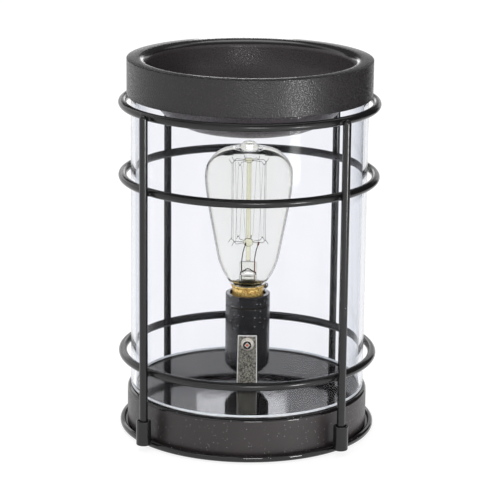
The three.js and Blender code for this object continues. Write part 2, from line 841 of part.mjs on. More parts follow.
/** The bulb's envelope: a neck inside the cap, the pear-shaped wall and the sealed nipple. */
function bulb_glass() {
  const outside = bulb_outline_shares.map(([height, radius]) => {
    return at(bulb_radius * radius, bulb_seat + bulb_length * height);
  });
  const nipple = bulb_nipple_shares.map(([height, radius]) => {
    return at(bulb_radius * radius, bulb_seat + bulb_length * height);
  });
  const inside = outside.map((point, i) => {
    const before = outside[Math.max(i - 1, 0)];
    const after = outside[Math.min(i + 1, outside.length - 1)];
    const along = after.clone().sub(before).normalize();
    return at(point.x - bulb_wall * along.y, point.y + bulb_wall * along.x);
  });
  const ceiling = inside.at(-1).y + bulb_wall / 2;
  const neck_bore = bulb_neck_radius - bulb_wall;
  return turned(
    [
      at(0, ceiling),
      ...inside.slice(1).toReversed(),
      at(neck_bore, bulb_seat + bulb_wall),
      at(neck_bore, stem_bottom),
      at(bulb_neck_radius, stem_bottom),
      at(bulb_neck_radius, bulb_seat),
      ...outside,
      ...nipple,
      at(0, bulb_tip),
    ],
    small_steps,
  );
}

/** The brass screw cap, with ridges in place of its thread. */
function bulb_cap() {
  const thread_top = cap_rim - cap_skirt_height;
  const half = thread_pitch / 2;
  const ridges = [];
  const first = cap_shell_bottom + cap_foot_height;
  for (let height = first; height < thread_top - thread_pitch; height += thread_pitch) {
    ridges.push(at(cap_root_radius, height), at(cap_radius, height + half));
  }
  return turned_ring(
    [
      at(cap_bore - cap_foot_inset, cap_shell_bottom),
      at(cap_root_radius - cap_foot_inset, cap_shell_bottom),
      ...ridges,
      at(cap_root_radius, thread_top),
      at(cap_skirt_radius, thread_top + cap_rim_height),
      at(cap_skirt_radius, cap_rim - 2 * cap_rim_height),
      at(cap_rim_radius, cap_rim - cap_rim_height),
      at(cap_rim_radius, cap_rim),
      at(cap_rim_radius - cap_wall, cap_rim),
      at(cap_bore, cap_rim - cap_rim_height - cap_wall),
      at(cap_bore, cap_shell_bottom + cap_foot_height),
    ],
    small_steps,
  );
}

/** The glassy insulator at the foot of the cap. */
function cap_insulator() {
  const top = insulator_bottom + insulator_height;
  const shoulder = cap_root_radius - cap_foot_inset;
  const side = [at(end_contact_radius, insulator_bottom), at(shoulder, top)];
  return turned([at(0, insulator_bottom), ...side, at(0, top)], small_steps);
}

/** The contact in the middle of the cap's foot. */
function end_contact() {
  return peg(end_contact_radius, cap_contact_bottom, cap_contact_bottom + end_contact_height);
}

/** The stem: a flared glass tube that is pinched flat round the lead-in wires. */
function bulb_stem() {
  const flare_top = stem_bottom + stem_flare_height;
  const flare_wall = stem_radius - stem_bore;
  const tube = turned(
    [
      at(0, pinch_bottom),
      at(stem_bore, pinch_bottom - flare_wall),
      at(stem_bore, flare_top),
      at(stem_flare_radius - flare_wall, stem_bottom),
      at(stem_flare_radius, stem_bottom),
      at(stem_radius, flare_top),
      at(stem_radius, pinch_bottom),
      at(pinch_thickness / 2, pinch_bottom + pinch_thickness / 2),
      at(0, pinch_bottom + pinch_thickness / 2),
    ],
    peg_steps,
  );
  const half = stem_radius - pinch_corner;
  const flat = new THREE.Shape();
  flat.moveTo(-stem_radius, pinch_bottom);
  flat.lineTo(stem_radius, pinch_bottom);
  flat.absarc(half, pinch_top - pinch_corner, pinch_corner, 0, Math.PI / 2, false);
  flat.absarc(-half, pinch_top - pinch_corner, pinch_corner, Math.PI / 2, Math.PI, false);
  flat.closePath();
  const pressed = { depth: pinch_thickness, bevelEnabled: false, curveSegments: round_end_steps / 2 };
  const pinch = new THREE.ExtrudeGeometry(flat, pressed);
  pinch.rotateX(Math.PI / 2).translate(0, pinch_thickness / 2, 0);
  const wire_holes = [-1, 1].map((side) => {
    const hole = peg(inner_wire_hole, pinch_bottom - 2 * flare_wall, pinch_top + cut_overrun);
    return hole.translate(side * pinch_lead_place, 0, 0);
  });
  return cut(joined(tube, pinch), ...wire_holes);
}

/** The glass rod on the stem, with a bead for each set of support wires. */
function bulb_arbor() {
  const foot = pinch_top + seat_gap;
  const bead = (ball, height) => [
    at(arbor_radius, height - ball.half_height),
    at(ball.radius, height - ball.half_height / 2),
    at(ball.radius, height + ball.half_height / 2),
    at(arbor_radius, height + ball.half_height),
  ];
  return turned(
    [
      at(0, foot),
      at(arbor_foot_radius, foot),
      at(arbor_radius, foot + arbor_foot_height),
      ...bead(bead_ball, lower_bead_height),
      ...bead(top_bead_ball, upper_bead_height),
      at(0, upper_bead_height + top_bead_ball.half_height),
    ],
    peg_steps,
  );
}

/** Support wires round a bead, each with a hook at its end that is bent up (1) or down (-1). */
function spider(ball, height, angles, way) {
  const loop_radius = ball.radius + seat_gap + inner_wire_radius;
  const loop = new THREE.TorusGeometry(loop_radius, inner_wire_radius, thin_wire_sides, peg_steps);
  loop.translate(0, 0, height);
  const arms = angles.map((degrees) => {
    const route = [
      spot(loop_radius, degrees, height),
      spot(hook_reach - hook_rise, degrees, height),
      spot(hook_reach, degrees, height + way * hook_rise),
      spot(hook_reach + hook_end_reach, degrees, height + way * (hook_rise - hook_end_drop)),
    ];
    return wire(route, inner_wire_radius);
  });
  return joined(loop, ...arms);
}

/** One wire from inside the stem, through the pinch, to an end of the filament. */
function lead_in(side, degrees) {
  const x = side * pinch_lead_place;
  const end = spot(hook_reach, degrees, lower_bead_height + hook_rise);
  const bend = new THREE.Vector3(x, 0, pinch_top + arbor_foot_height).lerp(end, lead_in_bend_share);
  const low = new THREE.Vector3(x, 0, stem_bottom + stem_flare_height);
  return wire([low, new THREE.Vector3(x, 0, pinch_top + seat_gap), bend, end], inner_wire_radius);
}

/** The filament: one fine wire that zigzags between the lower and the upper hooks. */
function filament() {
  const clear = inner_wire_radius + seat_gap + filament_radius;
  const low = lower_bead_height + hook_rise - clear;
  const high = upper_bead_height - hook_rise + clear;
  const points = [];
  const loop_over = (degrees, height, rise) => {
    const side_step = THREE.MathUtils.radToDeg(filament_bend / hook_reach);
    points.push(spot(hook_reach, degrees - side_step, height + rise));
    points.push(spot(hook_reach, degrees, height));
    points.push(spot(hook_reach, degrees + side_step, height + rise));
  };
  points.push(spot(hook_reach, filament_start_degrees, lower_bead_height + hook_rise + clear));
  upper_hook_angles.forEach((degrees, i) => {
    loop_over(degrees, high, -filament_bend);
    if (i < lower_hook_angles.length) loop_over(lower_hook_angles[i], low, filament_bend);
  });
  points.push(spot(hook_reach, filament_end_degrees, lower_bead_height + hook_rise + clear));
  return wire(points, filament_radius, filament_sides);
}

add("wax_dish", wax_dish(), powder_black);
add("glass_chimney", glass_chimney(), clear_glass);

add("top_ring", cage_ring(top_ring_height), wire_black);
add("middle_ring", cage_ring(middle_ring_height), wire_black);
add("lower_ring", cage_ring(lower_ring_height), wire_black);
for (const [place, degrees] of Object.entries(rod_angles)) {
  add(`rod_${place}`, cage_rod(degrees), wire_black);
  add(`ferrule_${place}`, ferrule(degrees), wire_black);
}

add("base_drum", base_drum(), gloss_black);
add("base_pan", base_pan(), gloss_black);
add("base_pad", peg(pad_radius, 0, pad_thickness, wide_steps), foam_black);
cover_post_angles.forEach((degrees, i) => {
  add(`cover_post_${i + 1}`, cover_post(degrees), plated_steel);
  add(`cover_screw_${i + 1}`, cover_screw(degrees), plated_steel);
});
add("cord_inlet", cord_inlet(), black_resin);

add("lamp_bracket", lamp_bracket(), plated_steel);
add("bracket_rivet", bracket_rivet(), brass);
add("bracket_washer", bracket_washer(), plated_steel);
add("bracket_screw", bracket_screw(), copper_screw);

add("holder_body", holder_body(), black_resin);
add("holder_collar", holder_collar(), black_resin);
add("holder_shell", holder_shell(), brass);
add("contact_base", contact_base(), white_insulator);
add("centre_contact", centre_contact(), brass);
add("terminal_block", terminal_block(), white_insulator);
for (const [place, side] of [["left", -1], ["right", 1]]) {
  add(`terminal_screw_${place}`, terminal_screw(side), brass);
  add(`block_screw_${place}`, block_screw(side), brass);
  add(`lead_${place}`, lead(side), dark_insulation);
}

add("bulb_glass", bulb_glass(), clear_glass);
add("bulb_cap", bulb_cap(), brass);
add("cap_insulator", cap_insulator(), black_resin);
add("end_contact", end_contact(), plated_steel);
add("bulb_stem", bulb_stem(), stem_glass);
add("bulb_arbor", bulb_arbor(), stem_glass);
add("lead_in_left", lead_in(-1, filament_end_degrees), plated_steel);
add("lead_in_right", lead_in(1, filament_start_degrees), plated_steel);
add("lower_spider", spider(bead_ball, lower_bead_height, lower_hook_angles, 1), plated_steel);
add("upper_spider", spider(top_bead_ball, upper_bead_height, upper_hook_angles, -1), plated_steel);
add("filament", filament(), tungsten);

export default warmer;
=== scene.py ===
"""The candle warmer, dressed as in its photograph.

A powder-coated wax dish stands on a clear chimney, inside a black wire cage on a pressed base that
holds a small filament lamp. Sizes are in millimetres until a piece is finished. Angles are in degrees
from the front (-Y), and they grow towards +X.
"""

import logging
import math
from dataclasses import dataclass
from enum import Enum
from functools import cached_property
from typing import Any, Callable, Sequence

import bmesh
import bpy
from mathutils import Matrix, Vector, noise


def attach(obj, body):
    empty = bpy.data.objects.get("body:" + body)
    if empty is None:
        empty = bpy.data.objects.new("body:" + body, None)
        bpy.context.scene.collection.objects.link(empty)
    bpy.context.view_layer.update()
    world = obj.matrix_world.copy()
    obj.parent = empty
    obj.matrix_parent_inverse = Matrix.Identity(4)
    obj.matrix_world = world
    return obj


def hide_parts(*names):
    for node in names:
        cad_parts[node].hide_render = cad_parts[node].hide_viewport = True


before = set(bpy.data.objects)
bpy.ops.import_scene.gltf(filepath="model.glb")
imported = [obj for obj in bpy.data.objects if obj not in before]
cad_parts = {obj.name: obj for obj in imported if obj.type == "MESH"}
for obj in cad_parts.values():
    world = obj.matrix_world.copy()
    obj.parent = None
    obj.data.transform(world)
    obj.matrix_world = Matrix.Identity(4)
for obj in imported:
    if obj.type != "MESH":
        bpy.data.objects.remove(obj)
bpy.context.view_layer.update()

MM = 0.001
FULL_TURN = 2 * math.pi
QUARTER_TURN = math.pi / 2
NEAR = 1e-4
WHITE = (1.0, 1.0, 1.0, 1.0)
CLOUD_EDGES = (0.35, 0.65)
ROD_PLACE = 57.25
ROD_ANGLES = {"front_left": -48.6, "front_right": 43.4, "back_left": -140.2, "back_right": 137.0}
LOG = logging.getLogger("warmer")

Colour = tuple[float, float, float]
Pair = tuple[float, float]
Triple = tuple[float, float, float]
Socket = bpy.types.NodeSocket


class Body(Enum):
    """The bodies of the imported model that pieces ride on."""

    BASE = "base"
    CHIMNEY = "chimney"
    DISH = "dish"
    BULB = "bulb"


class Slot(Enum):
    """The record's material slots."""

    DISH = "dish_powder_coat"
    GLASS = "clear_glass"
    CAGE = "cage_paint"
    BASE = "base_gloss_paint"
    FOAM = "foam_pad"
    PLATED = "plated_steel"
    WIRE = "inner_wire"
    COPPER = "screw_copper"
    BRASS = "brass"
    RESIN = "black_resin"
    INSULATOR = "white_insulator"
    LEAD = "lead_insulation"
    STEM = "stem_glass"


class Facets(Enum):
    """How many steps a full turn has on pieces of each width."""

    WIDE = 160
    MIDDLE = 96
    SMALL = 48
    WIRE = 24
    FINE_WIRE = 10


# ---------------------------------------------------------------------------------------------------
# Finishes
# ---------------------------------------------------------------------------------------------------


class Wiring:
    """The node tree of a material or a world, with short calls that add nodes and join their sockets."""

    def __init__(self, owner: bpy.types.Material | bpy.types.World) -> None:
        """Empties the tree.

        Args:
            owner: The material or world that has it.
        """
        owner.use_nodes = True
        self.tree = owner.node_tree
        self.tree.nodes.clear()

    @cached_property
    def place(self) -> Socket:
        """The place on the object, asked for when it is first used."""
        return self.node("ShaderNodeTexCoord").outputs["Object"]

    def node(self, kind: str, inputs: dict[Any, Any] | None = None, **settings: Any) -> bpy.types.Node:
        """Adds a node.

        Args:
            kind: The node's type.
            inputs: Values or sockets for its inputs, by name or number.
            **settings: Its other settings.

        Returns:
            The new node.
        """
        made = self.tree.nodes.new(kind)
        for key, value in settings.items():
            setattr(made, key, value)
        for key, value in (inputs or {}).items():
            if isinstance(value, Socket):
                self.tree.links.new(value, made.inputs[key])
            else:
                made.inputs[key].default_value = value
        return made

    def grain(self, size: float, detail: float = 2.0, stretch: Vector | None = None) -> Socket:
        """A cloudy pattern.

        Args:
            size: The width of its clouds in mm.
            detail: How many finer layers it has.
            stretch: Factors for its three directions, or none for an even pattern.

        Returns:
            Its value socket.
        """
        vector = self.place
        if stretch is not None:
            vector = self.node("ShaderNodeMapping", {"Vector": vector, "Scale": stretch}).outputs["Vector"]
        inputs = {"Vector": vector, "Scale": 1 / (size * MM), "Detail": detail, "Roughness": 0.6}
        return self.node("ShaderNodeTexNoise", inputs).outputs["Fac"]

    def stepped(
        self, value: Socket, low: float, high: float, start: float = 0.0, stop: float = 1.0,
    ) -> Socket:
        """A value stretched so that low gives start and high gives stop, and no more.

        Args:
            value: The socket to stretch.
            low: The value that gives start.
            high: The value that gives stop.
            start: The result at low.
            stop: The result at high.

        Returns:
            The stretched socket.
        """
        inputs = {"Value": value, "From Min": low, "From Max": high, "To Min": start, "To Max": stop}
        return self.node("ShaderNodeMapRange", inputs, clamp=True).outputs["Result"]

    def joined(self, operation: str, first: Socket, second: Socket) -> Socket:
        """Two values joined by a math operation."""
        return self.node("ShaderNodeMath", {0: first, 1: second}, operation=operation).outputs[0]

    def blend(self, factor: Any, first: Any, second: Any) -> Socket:
        """A colour between two colours.

        Args:
            factor: How much of the second colour there is.
            first: The first colour, or its socket.
            second: The second colour, or its socket.

        Returns:
            The mixed colour's socket.
        """
        inputs = {0: factor, 6: opaque(first), 7: opaque(second)}
        return self.node("ShaderNodeMix", inputs, data_type="RGBA").outputs[2]

    def strewn(self, colour: Socket, specks: int, size: float, gap: float, share: float) -> Socket:
        """A colour with small round specks strewn over it.

        Args:
            colour: The colour's socket.
            specks: The specks' own colour, as 0xRRGGBB.
            size: A speck's radius in mm.
            gap: The mean distance between places for a speck, in speck sizes.
            share: The share of places that have one, or 0 for none at all.

        Returns:
            The speckled colour's socket.
        """
        if not share:
            return colour
        spacing = size * gap
        reach = size / spacing
        softness = 0.02
        cells = self.node("ShaderNodeTexVoronoi", {"Vector": self.place, "Scale": 1 / (spacing * MM)})
        near = self.stepped(cells.outputs["Distance"], reach, reach / 2)
        chosen = self.stepped(cells.outputs["Color"], share + softness, share)
        return self.blend(self.joined("MULTIPLY", near, chosen), colour, plain(specks))

    def bump(self, height: Socket, depth: float) -> Socket:
        """A normal that follows a height pattern.

        Args:
            height: The pattern.
            depth: How deep it is, in mm.

        Returns:
            The normal's socket.
        """
        inputs = {"Height": height, "Distance": depth * MM, "Strength": 1.0}
        return self.node("ShaderNodeBump", inputs).outputs["Normal"]

    def shader(self, kind: str, inputs: dict[Any, Any] | None = None) -> Socket:
        """Adds a shader's node and returns its socket."""
        return self.node(kind, inputs).outputs[0]

    def either(self, share: Socket, first: Socket, second: Socket) -> Socket:
        """The first shader where a share is 0, and the second where it is 1."""
        return self.shader("ShaderNodeMixShader", {0: share, 1: first, 2: second})

    def seen(self) -> Socket:
        """A share that is 1 for what is seen directly, in a reflection or through glass.

        Returns:
            Its socket.
        """
        paths = self.node("ShaderNodeLightPath").outputs
        open_or_mirrored = self.joined("MAXIMUM", paths["Is Camera Ray"], paths["Is Glossy Ray"])
        return self.joined("MAXIMUM", open_or_mirrored, paths["Is Transmission Ray"])


def opaque(colour: Any) -> Any:
    """A colour with its alpha of 1, where it is a plain one and not a socket."""
    return colour if isinstance(colour, Socket) else (*colour, 1.0)


def plain(srgb: int) -> Colour:
    """A screen colour as the linear colour that shaders take.

    Args:
        srgb: The colour as 0xRRGGBB.

    Returns:
        Its linear red, green and blue.
    """
    channels = [(srgb >> shift & 0xFF) / 0xFF for shift in (16, 8, 0)]
    return tuple(c / 12.92 if c <= 0.04045 else ((c + 0.055) / 1.055) ** 2.4 for c in channels)


def painted(name: str, wired: Callable[[Wiring], Socket]) -> bpy.types.Material:
    """Makes a material.

    Args:
        name: Its name.
        wired: What joins its nodes and returns its shader.

    Returns:
        The material.
    """
    material = bpy.data.materials.new(name)
    wiring = Wiring(material)
    wiring.node("ShaderNodeOutputMaterial", {"Surface": wired(wiring)})
    return material


@dataclass(frozen=True)
class Finish:
    """A finish: the record's slot that it belongs to, and the material that shows it."""

    name: str
    slot: Slot

    @cached_property
    def material(self) -> bpy.types.Material:
        """The material, made when it is first used."""
        return painted(self.name, self.wired)

    def wired(self, wiring: Wiring) -> Socket:
        """Joins the finish's nodes and returns its shader; each kind of finish has its own."""
        raise NotImplementedError


@dataclass(frozen=True)
class Paint(Finish):
    """Black paint on metal: cloudy colour, fine grain, lighter specks that are painted glints, and strewn
    dust.

    Sizes are in mm. The gap between glint specks or dust is in sizes of one of them.
    """

    colour: int
    cloud: int
    roughness: float
    roughness_spread: float
    grain_size: float
    grain_depth: float
    # These fields give lighter specks in the colour that stand in for the coat's sparkle: painted glints.
    glint_speck_colour: int = 0x8A8A8C
    glint_speck_size: float = 0.15
    glint_speck_gap: float = 3.0
    glint_speck_share: float = 0.0
    dust_colour: int = 0xC8C8C8
    dust_size: float = 0.22
    dust_gap: float = 7.0
    dust_share: float = 0.0
    cloud_size: float = 30.0
    gloss: float = 0.5

    def wired(self, wiring: Wiring) -> Socket:
        """Joins the paint's nodes.

        Args:
            wiring: The empty tree.

        Returns:
            The paint's shader.
        """
        clouds = wiring.stepped(wiring.grain(self.cloud_size, 3.0), *CLOUD_EDGES)
        colour = wiring.blend(clouds, plain(self.colour), plain(self.cloud))
        # Lighter specks painted in for the coat's sparkle (painted glints), then real dust.
        glint_specks = (self.glint_speck_colour, self.glint_speck_size, self.glint_speck_gap, self.glint_speck_share)
        dust = (self.dust_colour, self.dust_size, self.dust_gap, self.dust_share)
        for specks in (glint_specks, dust):
            colour = wiring.strewn(colour, *specks)
        grain = wiring.grain(self.grain_size, 0.5)
        rough_low = self.roughness - self.roughness_spread
        rough_high = self.roughness + self.roughness_spread
        inputs = {
            "Base Color": colour,
            "Roughness": wiring.stepped(grain, 0.3, 0.7, rough_low, rough_high),
            "Specular IOR Level": self.gloss,
            "Normal": wiring.bump(grain, self.grain_depth),
        }
        return wiring.shader("ShaderNodeBsdfPrincipled", inputs)


@dataclass(frozen=True)
class Metal(Finish):
    """Bare or plated metal with a mottled colour and a fine grain. Sizes are in mm."""

    colour: int
    mottle: int
    mottle_size: float
    roughness: float
    grain_size: float
    grain_depth: float
    mottle_edges: tuple[float, float] = (0.4, 0.6)
    metallic: float = 1.0
    dulling: float = 1.5

    def wired(self, wiring: Wiring) -> Socket:
        """Joins the metal's nodes.

        Args:
            wiring: The empty tree.

        Returns:
            The metal's shader.
        """
        mottle = wiring.stepped(wiring.grain(self.mottle_size, 3.0), *self.mottle_edges)
        rough_high = min(1.0, self.roughness * self.dulling)
        inputs = {
            "Base Color": wiring.blend(mottle, plain(self.colour), plain(self.mottle)),
            "Metallic": self.metallic,
            "Roughness": wiring.stepped(mottle, 0.0, 1.0, self.roughness, rough_high),
            "Normal": wiring.bump(wiring.grain(self.grain_size), self.grain_depth),
        }
        return wiring.shader("ShaderNodeBsdfPrincipled", inputs)


@dataclass(frozen=True)
class Moulded(Finish):
    """A moulded, sleeved or foamed plastic with a fine skin.

    Sizes are in mm. The gap between pits is in sizes of one of them.
    """

    colour: int
    cloud: int
    roughness: float
    grain_size: float
    grain_depth: float
    cloud_size: float = 6.0
    roughness_spread: float = 0.2
    pit_colour: int = 0xA4A6A8
    pit_size: float = 0.26
    pit_gap: float = 5.0
    pit_share: float = 0.0

    def wired(self, wiring: Wiring) -> Socket:
        """Joins the plastic's nodes.

        Args:
            wiring: The empty tree.

        Returns:
            The plastic's shader.
        """
        clouds = wiring.stepped(wiring.grain(self.cloud_size, 3.0), *CLOUD_EDGES)
        colour = wiring.blend(clouds, plain(self.colour), plain(self.cloud))
        grain = wiring.grain(self.grain_size)
        rough_low = self.roughness * (1 - self.roughness_spread)
        rough_high = self.roughness * (1 + self.roughness_spread)
        inputs = {
            "Base Color": wiring.strewn(
                colour, self.pit_colour, self.pit_size, self.pit_gap, self.pit_share,
            ),
            "Roughness": wiring.stepped(grain, 0.0, 1.0, rough_low, rough_high),
            "Normal": wiring.bump(grain, self.grain_depth),
        }
        return wiring.shader("ShaderNodeBsdfPrincipled", inputs)


@dataclass(frozen=True)
class Glass(Finish):
    """Clear glass, faintly cloudy in its colour, that lets the lamps shine through.

    Its colour darkens where it turns away from the eye, a painted shade for the dark edges of clear glass,
    and its darker rim colour, painted shade too, shows only between the heights of its rim span. Sizes
    are in mm.
    """

    colour: int
    streak: int
    # edge and rim are darker colours painted where the glass turns from the eye: painted shade for its dark
    # edges.
    edge: int
    rim: int
    edge_shade_start: float = 0.45
    rim_shade_start: float = 0.8
    edge_shade_end: float = 0.95
    rim_shade_end: float = 0.97
    rim_shade_span: Pair | None = None
    rim_shade_fade: float = 1.5
    ior: float = 1.48
    wave_size: float = 14.0
    wave_depth: float = 0.01
    wave_stretch: Triple = (1.0, 1.0, 0.25)
    lamp_colour: Colour = (0.93, 0.94, 0.95)

    def wired(self, wiring: Wiring) -> Socket:
        """Joins the glass's nodes.

        Args:
            wiring: The empty tree.

        Returns:
            The glass's shader.
        """
        waves = wiring.grain(self.wave_size, 2.0, Vector(self.wave_stretch))
        streaks = wiring.stepped(waves, *CLOUD_EDGES)
        # Layer Weight darkens the colour towards grazing angles: painted shade for the glass's dark edges.
        facing = wiring.node("ShaderNodeLayerWeight", {"Blend": 0.5}).outputs["Facing"]
        edge_shade_share = wiring.stepped(facing, self.edge_shade_start, self.edge_shade_end)
        rim_shade_share = wiring.stepped(facing, self.rim_shade_start, self.rim_shade_end)
        if self.rim_shade_span is not None:
            height = wiring.node("ShaderNodeSeparateXYZ", {"Vector": wiring.place}).outputs["Z"]
            low, high = (end * MM for end in self.rim_shade_span)
            fade = self.rim_shade_fade * MM
            for outer, inner in ((low - fade, low + fade), (high + fade, high - fade)):
                rim_shade_share = wiring.joined("MULTIPLY", rim_shade_share, wiring.stepped(height, outer, inner))
        colour = wiring.blend(streaks, plain(self.colour), plain(self.streak))
        colour = wiring.blend(edge_shade_share, colour, plain(self.edge))
        inputs = {
            "Base Color": wiring.blend(rim_shade_share, colour, plain(self.rim)),
            "Roughness": 0.0,
            "IOR": self.ior,
            "Transmission Weight": 1.0,
            "Normal": wiring.bump(streaks, self.wave_depth),
        }
        glass = wiring.shader("ShaderNodeBsdfPrincipled", inputs)
        lamp_way = wiring.shader("ShaderNodeBsdfTransparent", {"Color": opaque(self.lamp_colour)})
        from_lamp = wiring.node("ShaderNodeLightPath").outputs["Is Shadow Ray"]
        return wiring.either(from_lamp, glass, lamp_way)


# Its lighter specks are painted glints for the coat's sparkle.
DISH_COAT = Paint(
    "dish_powder_coat", Slot.DISH, 0x2A2829, 0x2E2C2D, 0.32, 0.2, 0.5, 0.12,
    glint_speck_share=0.2, glint_speck_colour=0x545254, gloss=0.36,
)
LIP_COAT = Paint("dish_lip_coat", Slot.DISH, 0x282627, 0x2C2A2B, 0.18, 0.05, 0.5, 0.01)
# The dish's coat again, lighter inside the bowl: painted light, with the same painted glint specks.
LIT_BOWL_COAT = Paint(
    "dish_bowl_lit_coat", Slot.DISH, 0x443F41, 0x494446, 0.36, 0.2, 0.5, 0.1,
    glint_speck_share=0.2, glint_speck_colour=0x666265, gloss=0.4,
)
CAGE_PAINT = Paint(
    "cage_satin_paint", Slot.CAGE, 0x161617, 0x1A1A1B, 0.2, 0.04, 1.1, 0.012,
    dust_share=0.06, gloss=0.45,
)
BASE_PAINT = Paint(
    "base_gloss_paint", Slot.BASE, 0x161415, 0x1A1718, 0.06, 0.02, 2.4, 0.004,
    dust_share=0.35, dust_size=0.14,
)
# The plate's gloss paint again, rougher and with more dust; its lighter colour on the drum's wall is painted
# light.
LIT_BASE_WALL = Paint(
    "base_wall_lit_paint", Slot.BASE, 0x2A2526, 0x302A2B, 0.4, 0.05, 0.9, 0.02,
    dust_share=0.5, dust_size=0.14,
)
PLATED = Metal("speckled_plated_steel", Slot.PLATED, 0xAAA698, 0x45433C, 0.5, 0.4, 0.3, 0.03, metallic=0.6)
# A near-white finish for the bracket's bevelled edges: a painted highlight.
PLATED_EDGE_HIGHLIGHT = Metal("painted_edge_highlight", Slot.PLATED, 0xFAF9F6, 0xECEAE4, 0.6, 0.5, 0.3, 0.008, metallic=0.4)
SCREW_STEEL = Metal(
    "bright_screw_steel", Slot.PLATED, 0xF4F0E8, 0xC8C0B0, 0.5, 0.25, 0.4, 0.006, metallic=0.6,
)
SCREW_COPPER = Metal("copper_spot", Slot.COPPER, 0xD8602E, 0xB04820, 0.5, 0.4, 0.4, 0.01, metallic=0.2)
BRASS = Metal("mottled_brass", Slot.BRASS, 0xFFE28C, 0xA8701E, 0.7, 0.28, 0.5, 0.07, metallic=0.45)
CEMENT = Moulded("olive_cap_cement", Slot.RESIN, 0xC0B68A, 0x8A8058, 0.6, 0.5, 0.05)
WIRE = Metal("dark_inner_wire", Slot.WIRE, 0x55524C, 0x3A332C, 0.8, 0.4, 0.4, 0.004)
SOLDER = Metal("dull_solder", Slot.BRASS, 0x9A9A94, 0x5C5B56, 0.5, 0.35, 0.3, 0.02)
RESIN = Moulded("black_holder_resin", Slot.RESIN, 0x101011, 0x141416, 0.2, 0.7, 0.008, pit_share=0.5)
PLUG_RESIN = Moulded("dark_cap_insulator", Slot.RESIN, 0x151517, 0x1C1C20, 0.15, 1.2, 0.01)
INSULATOR = Moulded("white_insulator", Slot.INSULATOR, 0xDAD7CC, 0xCFCBBD, 0.5, 0.6, 0.02)
SLEEVE = Moulded("lead_sleeve", Slot.LEAD, 0x2A2A2C, 0x343436, 0.45, 0.5, 0.01)
FOAM = Moulded("foam_pad", Slot.FOAM, 0x1E1E1F, 0x28282A, 0.9, 0.4, 0.12)
CHIMNEY_GLASS = Glass(
    "chimney_glass", Slot.GLASS, 0xF6F6F9, 0xF3F4F7, 0xDEE1E7, 0xA8ACB4, 0.5, 0.85,
    edge_shade_end=0.62, rim_shade_end=0.95, ior=1.13,
)
BULB_GLASS = Glass(
    "bulb_glass", Slot.GLASS, 0xFCFCFA, 0xFAFAF7, 0xEFEEE4, 0x34383C, 0.6, 0.7,
    edge_shade_end=0.75, rim_shade_end=0.86, rim_shade_span=(65.5, 117.0), ior=1.12,
)
# An opaque near-white finish for the tube's bottom rim: a painted highlight.
PAINTED_RIM_HIGHLIGHT = Moulded("painted_rim_highlight", Slot.GLASS, 0xF6F8FA, 0xEAEEF2, 0.25, 0.8, 0.005)
STEM_GLASS = Glass(
    "stem_glass", Slot.STEM, 0xFAFAF6, 0xF4F5EE, 0xC8CAC4, 0x34363A, 0.45, 0.6, rim_shade_end=0.85, ior=1.25,
)
ARBOR_GLASS = Glass(
    "arbor_glass", Slot.STEM, 0xF6F5DE, 0xF0EFD0, 0xC8C6A0, 0x302E24, 0.4, 0.5, rim_shade_end=0.8, ior=1.3,
)
TIP_GLASS = Glass(
    "tip_glass", Slot.GLASS, 0xF4F3E6, 0xECEBDA, 0xC8C8BC, 0x4C4E4A, 0.4, 0.6, rim_shade_end=0.85, ior=1.22,
)
LEAD_COPPER = Metal("red_lead_copper", Slot.COPPER, 0x94503C, 0x5C2E22, 0.5, 0.35, 0.4, 0.01, metallic=0.6)

CARRIED_OVER: dict[Finish, tuple[str, ...]] = {
    FOAM: ("base_pad",),
    PLATED: ("cover_post_1", "cover_post_2", "cover_post_3", "end_contact"),
    BRASS: (
        "holder_shell", "centre_contact", "bracket_rivet", "terminal_screw_left", "terminal_screw_right",
        "block_screw_left", "block_screw_right",
    ),
    INSULATOR: ("contact_base", "terminal_block"),
    SLEEVE: ("lead_left", "lead_right"),
    PLUG_RESIN: ("cap_insulator",),
}


# ---------------------------------------------------------------------------------------------------
# Shapes
# ---------------------------------------------------------------------------------------------------


@dataclass(frozen=True)
class Corner:
    """One corner of an outline: its distance from the axis, its height and how much it is rounded."""

    radius: float
    height: float
    round: float = 0.0


def spot(radius: float, degrees: float, height: float = 0.0) -> Vector:
    """A place round the axis.

    Args:
        radius: Its distance from the axis.
        degrees: Its angle from the front, growing towards +X.
        height: Its height.

    Returns:
        The place.
    """
    angle = math.radians(degrees)
    return Vector((radius * math.sin(angle), -radius * math.cos(angle), height))


def smooth_route(points: Sequence[Vector], steps: int) -> list[Vector]:
    """A smooth route through points.

    Args:
        points: The points that it passes.
        steps: How many steps it has from each point to the next.

    Returns:
        The route's points.
    """
    ends = [points[0] * 2 - points[1], *points, points[-1] * 2 - points[-2]]
    route = []
    for before, here, after, later in zip(ends, ends[1:], ends[2:], ends[3:]):
        pull = (after - before) / 2
        next_pull = (later - here) / 2
        rise = here - after
        for step in range(steps):
            t = step / steps
            squared = (-3 * rise - 2 * pull - next_pull) * t**2
            cubed = (2 * rise + pull + next_pull) * t**3
            route.append(here + pull * t + squared + cubed)
    return [*route, points[-1].copy()]


